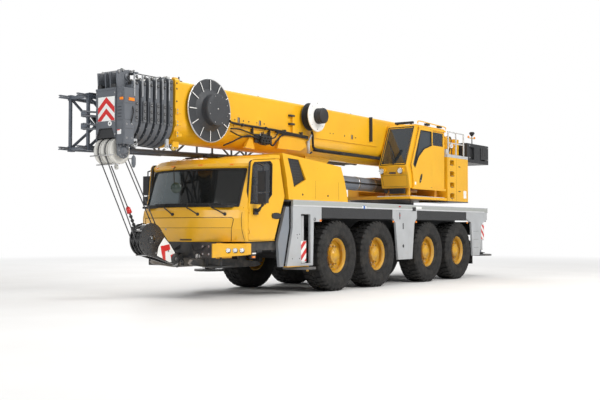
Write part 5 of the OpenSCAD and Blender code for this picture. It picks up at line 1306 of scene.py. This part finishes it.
# Arrow plates on the near and the far cheek
white = [(-5.204, 1.148), (-5.053, 1.015), (-4.925, 0.862), (-4.985, 0.700), (-5.063, 0.690),
         (-5.201, 0.746), (-5.395, 0.822), (-5.350, 0.985)]
red_1 = [(-5.302, 0.992), (-5.072, 1.022), (-5.047, 0.930), (-5.182, 0.894), (-5.171, 0.728),
         (-5.238, 0.752), (-5.276, 0.861)]
red_2 = [(-5.046, 0.822), (-4.940, 0.850), (-4.985, 0.712), (-5.015, 0.720)]
for s in (1, -1):
    for pts, t, mat in ((white, 0.002, m_label), (red_1, 0.004, m_red), (red_2, 0.004, m_red)):
        p.prism(pts, "X", s * (BLOCK_X + 0.0002), s * (BLOCK_X + 0.0002 + t), mat)
p.make("hook_block_arrows", "hook_block")

# ---------------------------------------------------------------- lattice jib
JIB_X, JIB_Z = -0.739, middle("lattice_jib").z
JIB_FRONT, JIB_LENGTH, JIB_BAYS = -6.475, 8.9, 8


def jib_at(i, sx, sz):
    """The middle of a main tube at the end of bay i; sx and sz pick the corner."""
    f = i / JIB_BAYS
    return Vector((JIB_X + sx * (0.235 - 0.06 * f), JIB_FRONT + JIB_LENGTH * f,
                   JIB_Z + sz * (0.46 - 0.24 * f)))


p = Part()
# Fuller bars over the first two bays, gusset plates at the nodes, fork ends
for sx in (-1, 1):
    for sz in (-1, 1):
        p.rod(jib_at(0, sx, sz), jib_at(2, sx, sz), 0.040, m_jib, n=12)
        e = jib_at(0, sx, sz)
        p.box((e.x - 0.042, e.y - 0.03, e.z - 0.048), (e.x + 0.042, e.y + 0.075, e.z + 0.048), m_jib)
        p.rod((e.x, e.y - 0.235, e.z), (e.x, e.y - 0.02, e.z), 0.020, m_edge, n=14)
    for i, r in ((0, 0.034), (1, 0.032)):
        p.rod(jib_at(i, sx, -1), jib_at(i, sx, 1), r, m_jib, n=12)
    for sz in (-1, 1):
        p.rod(jib_at(0, sx, sz), jib_at(1, sx, -sz), 0.026, m_jib, n=10)
for sz in (-1, 1):
    for i, r in ((0, 0.030), (1, 0.028)):
        p.rod(jib_at(i, -1, sz), jib_at(i, 1, sz), r, m_jib, n=12)
# Dark triangular bracket beside the hinge, the catwalk plate above
p.prism([(JIB_FRONT + 0.02, 3.32), (JIB_FRONT + 0.62, 3.34), (JIB_FRONT + 0.52, 3.14),
         (JIB_FRONT + 0.30, 3.04)], "X", JIB_X + 0.225, JIB_X + 0.262, m_dark)
p.prism([(JIB_FRONT + 0.50, 3.30), (JIB_FRONT + 0.95, 3.02), (JIB_FRONT + 0.80, 2.98),
         (JIB_FRONT + 0.44, 3.20)], "X", JIB_X + 0.225, JIB_X + 0.250, m_dark)
p.box((JIB_X - 0.10, JIB_FRONT + 0.05, 3.69), (JIB_X + 0.27, JIB_FRONT + 0.60, 3.715), m_dark)
for i in range(3):
    y = JIB_FRONT + 0.10 + i * 0.18
    p.box((JIB_X + 0.12, y, 3.68), (JIB_X + 0.16, y + 0.06, 3.735), m_dark)
p.make("jib_front_bays", "lattice_jib", bevel=0.002)

p = Part()
# Node sleeves on the rest of the jib, and pins at its head
for i in range(2, 9):
    for sx in (-1, 1):
        for sz in (-1, 1):
            c = jib_at(i, sx, sz)
            p.rod(c - Vector((0, 0.05, 0)), c + Vector((0, 0.05, 0)), 0.041, m_jib, n=12)
for sx in (-1, 1):
    for sz in (-1, 1):
        c = jib_at(8, sx, sz)
        p.bolt(c + Vector((sx * 0.03, 0, 0)), (sx, 0, 0), 0.02, m_zinc)
p.make("jib_nodes", "lattice_jib", bevel=0.002)

# ---------------------------------------------------------------- deck, posts, jacks
PLATE = (0.42, 0.435, 0.45)
DECK_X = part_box("deck_and_fenders")[1].x


def deck_paint():
    """Dusty studded plate, with the side panels between the posts darker and a paler edge to the deck."""
    m = Mat("deck_paint").set(coat=0.08)
    wander = m.noise(2.1, 5)
    tone = m.drift(wander, PLATE, 0.90, 1.07)
    dark = m.ramp(wander, [(0.3, (0.048, 0.050, 0.054)), (0.7, (0.066, 0.068, 0.072))])
    for y0, y1 in ((-1.878, 1.018), (2.212, 4.948)):
        tone = m.mix(in_box(m, (1.2, y0, 1.45), (None, y1, 1.7515)), tone, dark)
    tone = m.mix(in_box(m, (1.3, None, 1.752), (None, None, 1.86)), tone, (0.36, 0.375, 0.36))
    m.dusted(tone, 0.35, top=1.3, foot=0.5, scale=6, start=0.40, dust=(0.33, 0.30, 0.25))
    m.rough(m.noise(19, 4), 0.36, 0.52)
    studs = m.pattern("TexVoronoi", Scale=34, Randomness=0.0)
    m.bump(m.span(studs.outputs["Distance"], 0.34, 0.18), 0.35, 0.0018)
    return m.m


dress("deck_and_fenders", deck_paint())
for side_name, s in SIDES:
    p = Part()
    x = s * DECK_X
    # Silver strip along the deck edge, and the clips on it
    p.plate(x, -2.87, 1.752, 6.10, 1.782, m_strip, 0.005, sink=0.004)
    p.plate(x, -0.262, 1.742, -0.190, 1.815, m_blue, 0.009)
    for y in (-0.305, -0.185):
        p.plate(x, y, 1.757, y + 0.045, 1.805, m_label, 0.008)
    p.plate(x, 1.98, 1.735, 2.14, 1.825, m_plastic, 0.008)
    p.plate(x, 2.16, 1.79, 2.44, 1.845, m_label, 0.003)
    p.plate(x, 1.32, 1.815, 1.40, 1.84, m_red_lens, 0.008)
    # Orange reflectors at the posts' upper flanges, in the glowing orange lens: a painted glow, as they are
    # no lamps
    for y in (-1.925, 1.055, 2.155, 4.995):
        p.plate(x, y - 0.03, 1.455, y + 0.03, 1.495, m_orange, 0.007)
    # Front post: rivets, rope ring
    for y, z in ((-2.72, 1.127), (-2.74, 1.19), (-2.66, 1.20), (-2.90, 0.72), (-2.66, 0.72)):
        p.lathe([(0.012, 0), (0.010, 0.004), (0, 0.005)], (x, y, z), (s, 0, 0), m_dark, n=12)
    p.lathe([(0.024, 0), (0.034, 0.004), (0.034, 0.008), (0.024, 0.008)], (x, -2.136, 1.50), (s, 0, 0),
            m_dark, n=24)
    # Middle post: lamp slot, worn patch, drain notch; the notch is a dark disc, painted shade
    p.plate(x, 1.345, 1.530, 1.385, 1.690, m_dark, 0.003)
    p.plate(x, 1.350, 1.600, 1.380, 1.640, m_red_lens, 0.008)
    p.plate(x, 1.50, 1.30, 1.545, 1.44, m_dark, 0.003)
    p.lathe([(0.040, 0), (0.036, 0.003), (0, 0.004)], (x, 1.53, 0.905), (s, 0, 0), m_dark, n=20)
    for y, z in ((1.20, 1.72), (1.95, 1.72), (1.36, 0.62), (1.90, 0.62)):
        p.bolt((x, y, z), (s, 0, 0), 0.011, m_zinc)
    # Rear post: seams and lamp
    for z in (1.24, 1.02, 0.80):
        p.plate(x, 5.40, z, 5.70, z + 0.006, m_dark, 0.002)
    p.plate(s * 1.25, 6.02, 1.50, 6.24, 1.64, m_plastic, 0.08)
    p.plate(s * 1.31, 6.05, 1.52, 6.14, 1.62, m_red_lens, 0.027)
    p.plate(s * 1.31, 6.15, 1.52, 6.22, 1.62, m_orange, 0.027)
    # Yellow edge of the front step and its stay
    p.box((s * 1.24, -3.05, 0.560), (s * 1.345, -2.36, 0.577), m_yellow)
    p.box((s * 1.30, -2.36, 0.455), (s * 1.335, -2.325, 0.577), m_yellow)
    # Mud flap behind the last wheel
    p.box((s * 0.86, 5.395, 0.37), (s * 1.31, 5.410, 0.98), m_rubber)
    p.box((s * 0.86, 5.391, 0.95), (s * 1.31, 5.416, 0.99), m_dark)
    p.make(f"deck_side_trim_{side_name}", "carrier", bevel=0.0015)

p = Part()
# Rear: lamp clusters and a blank plate
for s in (1, -1):
    p.box((s * 0.62, 6.255, 1.56), (s * 1.02, 6.272, 1.66), m_plastic)
    for i, mat in enumerate((m_red_lens, m_orange, m_red_lens, m_clear)):
        p.box((s * (0.64 + i * 0.095), 6.262, 1.575), (s * (0.72 + i * 0.095), 6.282, 1.645), mat)
p.box((-0.26, 6.262, 1.56), (0.26, 6.272, 1.67), m_label)
p.make("rear_lamps", "carrier", bevel=0.003)


def stripes(p, x, y0, y1, z0, z1, s, rise, w=0.105):
    """Red and white slanted stripes on an upright plate that faces sideways."""
    p.box((x, y0, z0), (x + s * 0.002, y1, z1), m_label)
    for i in range(-3, 6):
        za = z0 + (i * 2) * w
        cut = clip([(y0, za), (y1, za + rise), (y1, za + rise + w), (y0, za + w)], z0 + 0.002, z1 - 0.002)
        if len(cut) > 2:
            p.prism(cut, "X", x + s * 0.0015, x + s * 0.0035, m_red)


def clip(points, lo, hi):
    """Cuts an outline off below lo and above hi in its second number."""
    for bound, sign in ((lo, 1), (hi, -1)):
        done = []
        for i, a in enumerate(points):
            b = points[(i + 1) % len(points)]
            ia, ib = sign * (a[1] - bound) >= 0, sign * (b[1] - bound) >= 0
            if ia:
                done.append(a)
            if ia != ib:
                t = (bound - a[1]) / (b[1] - a[1])
                done.append((a[0] + (b[0] - a[0]) * t, bound))
        points = done
    return points


for end, y, z0 in (("front", -2.445, 0.64), ("rear", 6.095, 1.0)):
    for side_name, s in SIDES:
        p = Part()
        body = f"jack_{end}_{side_name}"
        stripes(p, s * 1.292, y - 0.094, y + 0.094, z0 + 0.02, z0 + 0.42, s,
                0.17 if end == "front" else -0.17)
        p.box((s * 1.285, y - 0.06, z0 - 0.012), (s * 1.294, y + 0.06, z0 + 0.016), m_strip)
        # Foot of the jack: gland ring and the collar above the pad
        foot = Vector((s * 1.19, y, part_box(body)[0].z))
        p.lathe([(0.062, 0.0), (0.096, 0.004), (0.096, 0.03), (0.062, 0.036)], foot + Vector((0, 0, 0.16)),
                UP, m_zinc, n=36)
        p.lathe([(0.07, 0.0), (0.16, 0.0), (0.16, 0.012), (0.07, 0.03)], foot + Vector((0, 0, 0.072)),
                UP, m_dark, n=40)
        dress(body, zoned(f"{body}_paint", (0.24, 0.27, 0.32), [
            ((0.07, 0.072, 0.076), OPEN, (None, None, foot.z + 0.09))], rough=0.4))
        p.make(f"jack_trim_{end}_{side_name}", body, bevel=0.0015)

# ---------------------------------------------------------------- engine cover
p = Part()
# Dark mesh over the intake on the left side
p.prism([(FA - 1.79, 2.69), (FA - 1.42, 2.68), (FA - 1.21, 2.29), (FA - 1.62, 2.12)], "X", 1.301, 1.306,
        m_plastic)
for i in range(9):
    z = 2.18 + i * 0.055
    p.box((1.306, FA - 1.70 + 0.005 * i, z), (1.309, FA - 1.36, z + 0.008), m_dark)
for s in (1, -1):
    # Shut lines of the side flaps, their locks and grips
    for y in (-2.10, -1.25):
        p.plate(s * DECK_X, y - 0.0025, 1.92, y + 0.0025, 2.29, m_groove, 0.0015, sink=0.0015)
    for y in (-2.55, -1.65):
        p.lathe([(0.022, 0), (0.020, 0.006), (0, 0.007)], (s * DECK_X, y, 1.99), (s, 0, 0), m_plastic, n=20)
for i in range(7):
    p.box((-0.75, -2.55 + i * 0.16, 2.70 - 0.010 * i), (0.75, -2.47 + i * 0.16, 2.712 - 0.010 * i),
          m_plastic)
p.make("engine_cover_trim", "carrier", bevel=0.001)

# ---------------------------------------------------------------- superstructure
STEP_Z = (3.031, 2.742, 2.452, 2.169)
BOX_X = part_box("crane_cab")[1].x
# The recesses of the steps in the side box are painted a dark yellow-brown: painted shade inside them
steps = [((0.10, 0.06, 0.012), (1.05, 4.205, z - 0.064), (1.2485, 4.455, z + 0.064)) for z in STEP_Z]
dress("turntable", zoned("turntable_paint", YELLOW, steps + [
    ((0.05, 0.05, 0.052), (None, None, 1.8), (None, None, 2.03)),
    ((0.50, 0.51, 0.52), (1.0, 4.05, 3.172), (None, 5.28, 3.252)),
    ((0.52, 0.52, 0.51), (1.10, 4.0, 3.262), (None, 5.28, None))], rough=0.34, coat=0.35))
# The front of the crane's cab in profile: (height, place along the crane)
CAB_FRONT = [(2.30, 2.115), (2.65, 2.025), (2.83, 1.945), (3.88, 2.43)]


def cab_front(x, z, out=0.0):
    """A point on the front of the crane's cab."""
    for (z0, y0), (z1, y1) in zip(CAB_FRONT, CAB_FRONT[1:]):
        if z <= z1:
            break
    return Vector((x, y0 + (y1 - y0) * (z - z0) / (z1 - z0) - out, z))


dress("crane_cab_door", zoned("crane_door_paint", YELLOW, [
    ((0.035, 0.045, 0.055), (1.2245, None, 2.75), (1.2365, 3.20, 3.78))], rough=0.34, coat=0.35))

p = Part()
# Front screen rubber, wiper, work lamps, vents
loop = [cab_front(x, z, 0.004) for x, z in ((0.475, 2.865), (1.165, 2.865), (1.165, 3.82), (0.475, 3.82))]
p.tube(loop, 0.016, m_rubber, n=8, closed=True)
hub = cab_front(0.835, 2.905, 0.02)
p.lathe([(0.030, 0), (0.030, 0.018), (0.0, 0.024)], cab_front(0.835, 2.905, -0.002), (0, -0.91, 0.42),
        m_plastic, n=20)
p.tube([hub, cab_front(0.75, 3.08, 0.045), cab_front(0.665, 3.30, 0.035)], 0.009, m_plastic, n=8)
p.tube([cab_front(0.80, 3.10, 0.020), cab_front(0.53, 3.50, 0.020)], 0.008, m_rubber, n=8)
p.tube([hub + Vector((0.03, 0, 0)), cab_front(0.80, 3.10, 0.045), cab_front(0.70, 3.26, 0.035)], 0.007,
       m_plastic, n=8)
for x in (0.53, 1.05):
    c = cab_front(x, 2.715, 0.035)
    p.box(c + Vector((-0.02, -0.03, -0.075)), c + Vector((0.02, 0.02, -0.04)), m_plastic)
    p.lathe([(0.030, -0.01), (0.060, 0.020), (0.066, 0.060), (0.060, 0.066), (0.056, 0.058), (0.0, 0.054)],
            c, (0, -1, -0.05), m_plastic, n=32, mats=[m_plastic, m_plastic, m_chrome, m_chrome, m_clear])
c = cab_front(0.785, 2.675, 0.002)
p.box(c + Vector((-0.09, -0.006, -0.028)), c + Vector((0.09, 0.004, 0.028)), m_plastic)
for i in range(3):
    p.box(c + Vector((-0.08, -0.009, -0.018 + 0.015 * i)), c + Vector((0.08, -0.005, -0.012 + 0.015 * i)),
          m_zinc)
# Shut line of the lower panel
p.tube([cab_front(0.47, 2.61, 0.001), cab_front(1.17, 2.61, 0.001)], 0.0035, m_groove, n=6)
p.tube([cab_front(0.47, 2.61, 0.001), cab_front(0.50, 2.34, 0.001), cab_front(1.14, 2.34, 0.001),
        cab_front(1.17, 2.61, 0.001)], 0.0035, m_groove, n=6)
p.make("crane_cab_front_fittings", "crane_cab", bevel=0.0015)

p = Part()
# Roof: light bar, rails' black feet, beacon foot
p.box((0.60, 2.46, 3.905), (1.10, 2.53, 3.960), m_plastic)
for i in range(5):
    p.box((0.615 + i * 0.098, 2.453, 3.912), (0.70 + i * 0.098, 2.465, 3.940), m_dark)
for x in (0.66, 1.04):
    p.box((x - 0.015, 2.48, 3.87), (x + 0.015, 2.51, 3.91), m_plastic)
for y in (3.03, 3.70):
    p.box((1.16, y - 0.08, 3.895), (1.24, y + 0.08, 3.945), m_plastic)
    p.rod((1.20, y - 0.10, 3.92), (1.20, y + 0.10, 3.92), 0.022, m_plastic, n=12)
p.tube(spline([(1.225, 2.50, 3.90), (1.228, 2.56, 3.965), (1.228, 3.3, 3.950), (1.228, 3.95, 3.935),
               (1.225, 4.0, 3.88)], 8), 0.014, m_yellow, n=10)
p.make("crane_cab_roof_fittings", "crane_cab", bevel=0.002)

p = Part()
# Door: rubber round the pane, oval handle, blank label
x = BOX_X - 0.0005
win = [(2.295, 2.80), (2.475, 3.07), (2.775, 3.29), (3.165, 3.40), (3.165, 3.74), (2.605, 3.74)]
p.tube([(x, y, z) for y, z in win], 0.011, m_rubber, n=8, closed=True)
p.prism([(2.60 + 0.045 * c + 0.05 * d, 2.55 + 0.115 * d) for c, d in circle(24, 1)], "X", x - 0.002,
        x + 0.008, m_plastic)
p.rod((x + 0.006, 2.57, 2.50), (x + 0.018, 2.57, 2.50), 0.016, m_zinc, n=14)
p.box((x - 0.001, 2.29, 2.385), (x + 0.002, 2.36, 2.455), m_label)
p.box((x - 0.001, 3.12, 2.335), (x + 0.003, 3.20, 2.345), m_dark)
p.make("crane_door_trim", "crane_cab_door", bevel=0.001)

p = Part()
# Work platform: pale edges, feet, dark grille below the cab's front
for a, b in ((Vector((0.36, 2.005, 0)), Vector((BOX_X, 2.085, 0))),
             (Vector((BOX_X, 2.10, 0)), Vector((BOX_X, 3.86, 0)))):
    along = (b - a).normalized()
    proud = Vector((along.y, -along.x, 0)) * 0.003
    foot, head = Vector((0, 0, 2.088)) + proud, Vector((0, 0, 2.112)) + proud
    p.faces([a + foot, b + foot, b + head, a + head], [(0, 1, 2, 3)], m_strip)
p.plate(BOX_X, 2.10, 2.088, 3.86, 2.112, m_strip, 0.0035, sink=0.004)
p.box((0.66, 2.08, 2.165), (1.08, 2.12, 2.290), m_dark)
for i in range(9):
    p.box((0.675 + i * 0.045, 2.068, 2.175), (0.690 + i * 0.045, 2.082, 2.280), m_plastic)
p.lathe([(0.050, 0), (0.050, 0.03), (0.036, 0.036), (0, 0.03)], (0.56, 2.10, 2.22), FORE, m_plastic, n=28)
p.rod((1.21, 2.09, 2.12), (1.21, 2.09, 2.30), 0.016, m_yellow, n=12)
for y in (2.35, 2.75, 3.3):
    p.rod((1.20, y, 2.03), (1.20, y, 2.085), 0.014, m_zinc, n=10)
# Side box: silver band, handles, shut lines, blank plate
p.plate(BOX_X, 4.06, 3.175, 5.272, 3.250, m_lightgrey, 0.0035, sink=0.0015)
p.plate(BOX_X, 4.13, 2.03, 4.136, 3.17, m_groove, 0.0015, sink=0.001)
p.plate(BOX_X, 4.57, 2.03, 4.575, 3.17, m_groove, 0.0015, sink=0.001)
p.plate(BOX_X, 5.00, 2.12, 5.17, 2.32, m_label, 0.002, sink=0.001)
for z in STEP_Z:
    p.plate(BOX_X, 4.275, z - 0.058, 4.385, z - 0.048, m_zinc, 0.0015, sink=0.050)
    for z0 in (z + 0.060, z - 0.068):
        p.plate(BOX_X, 4.265, z0, 4.395, z0 + 0.008, m_groove, 0.0025, sink=0.001)
p.lathe([(0.012, 0), (0.010, 0.005), (0, 0.006)], (BOX_X, 4.32, 2.07), ACROSS, m_dark, n=14)
for z in (2.95, 2.30):
    p.plate(BOX_X, 4.70, z - 0.012, 4.80, z + 0.012, m_plastic, 0.006, sink=0.001)
p.make("platform_and_box_trim", "superstructure", bevel=0.0015)

p = Part()
# Hydraulic motors, filter and lamp behind the rails, on top of the side box
for y, h, r in ((4.30, 0.52, 0.10), (4.53, 0.40, 0.085), (4.86, 0.54, 0.11)):
    p.lathe([(r * 1.15, 0), (r * 1.15, 0.03), (r, 0.04), (r, h * 0.72), (r * 0.85, h * 0.80), (r * 0.85, h),
             (0, h)], (0.84, y, 3.25), UP, m_yellow, n=32)
    p.bolt((0.84, y, 3.25 + h), UP, 0.02, m_plastic)
p.box((0.70, 4.16, 3.25), (1.00, 4.20, 3.70), m_yellow)
p.box((0.74, 4.95, 3.25), (1.02, 5.20, 3.72), m_yellow)
p.tube(spline([(0.84, 4.30, 3.76), (0.92, 4.36, 3.82), (0.95, 4.46, 3.76), (0.86, 4.53, 3.64)], 6), 0.016,
       m_rubber, n=10)
p.tube(spline([(0.86, 4.86, 3.78), (0.98, 4.80, 3.74), (1.02, 4.70, 3.50), (0.98, 4.62, 3.27)], 6), 0.014,
       m_rubber, n=10)
p.lathe([(0.02, -0.03), (0.05, 0.0), (0.055, 0.03), (0.048, 0.035), (0, 0.03)], (1.08, 4.62, 3.50),
        (0.5, -0.8, 0), m_plastic, n=24, mats=[m_plastic, m_plastic, m_chrome, m_clear])
p.rod((1.08, 4.64, 3.25), (1.08, 4.64, 3.47), 0.012, m_dark, n=10)
p.make("side_box_machinery", "superstructure", bevel=0.003)

p = Part()
# Winch: cheek bolts and end caps
CHEEK_X, PIVOT_Y, PIVOT_Z = 0.466, 4.775, 3.30
_, drum_y, drum_z = middle("hoist_drum")
for s in (1, -1):
    for y, z in circle(10, 0.20, drum_y, drum_z):
        p.bolt((s * CHEEK_X, y, z), (s, 0, 0), 0.014, m_zinc)
    p.lathe([(0.15, 0), (0.15, 0.02), (0.11, 0.03), (0.11, 0.06), (0.0, 0.06)],
            (s * CHEEK_X, drum_y, drum_z), (s, 0, 0), m_yellow, n=36)
# Pivot pin caps
for s in (1, -1):
    p.lathe([(0.10, 0), (0.10, 0.014), (0.07, 0.024), (0, 0.026)], (s * CHEEK_X, PIVOT_Y, PIVOT_Z),
            (s, 0, 0), m_zinc, n=32)
p.make("winch_and_pivot_trim", "superstructure")

p = Part()
# Counterweight: slab seams, pockets, lifting lugs, hole and beacon
for s in (1, -1):
    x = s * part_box("counterweight")[1].x
    p.plate(x, 6.215, 3.20, 6.225, 3.635, m_dark, 0.001, sink=0.004)
    p.plate(x, 6.23, 3.24, 6.57, 3.62, m_dark, 0.002, sink=0.001)
    p.plate(x, 6.30, 3.30, 6.36, 3.56, m_plastic, sink=0.001)
    p.plate(x, 6.42, 3.34, 6.52, 3.44, m_plastic, sink=0.001)
    p.lathe([(0.035, 0), (0.030, 0.003), (0, 0.002)], (x, 5.987, 3.313), (s, 0, 0), m_dark, n=24)
    for y in (5.50, 6.66):
        for z in (3.25, 3.58):
            p.bolt((x, y, z), (s, 0, 0), 0.016, m_zinc)
    for y in (5.62, 6.45):
        p.rod((s * 0.95 - 0.05, y, 3.640), (s * 0.95 + 0.05, y, 3.640), 0.035, m_dark, n=14)
for z in (3.32, 3.48):
    p.box((-1.15, 6.722, z), (1.15, 6.727, z + 0.006), m_dark)
# Beacon on its post with the two orange lamps
p.rod((0.80, 6.51, 3.64), (0.80, 6.51, 3.95), 0.014, m_dark, n=12)
p.tube([(0.80, 6.25, 3.88), (0.80, 6.70, 3.88)], 0.012, m_yellow, n=8)
for y in (6.28, 6.67):
    p.lathe([(0.028, 0), (0.030, 0.03), (0.022, 0.05), (0, 0.055)], (0.80, y, 3.885), UP, m_orange, n=20)
p.lathe([(0.0, -0.09), (0.04, -0.05), (0.075, 0.0), (0.075, 0.03), (0.05, 0.05), (0.0, 0.055)],
        (0.80, 6.51, 4.01), UP, m_plastic, n=28)
p.make("counterweight_trim", "superstructure", bevel=0.002)

p = Part()
# Luffing cylinder: clamp bands and the hose on the barrel
foot, head = Vector((0, 3.525, 2.39)), Vector((0, -0.625, 2.44))
d = (head - foot).normalized()
end = (foot.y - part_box("luffing_barrel")[0].y) / abs(d.y)
for t in (0.55, 1.25, 2.0):
    p.lathe([(0.166, -0.03), (0.172, -0.028), (0.172, 0.028), (0.166, 0.03)], foot + d * t, d, m_zinc)
run = ((0.35, 1), (0.6, 1.08), (end - 0.25, 1.08), (end - 0.12, 0.98))
p.tube([foot + d * t + aside(0.17 * k) for t, k in run], 0.016, m_rubber, n=10)
p.make("luffing_trim", "luffing_barrel")
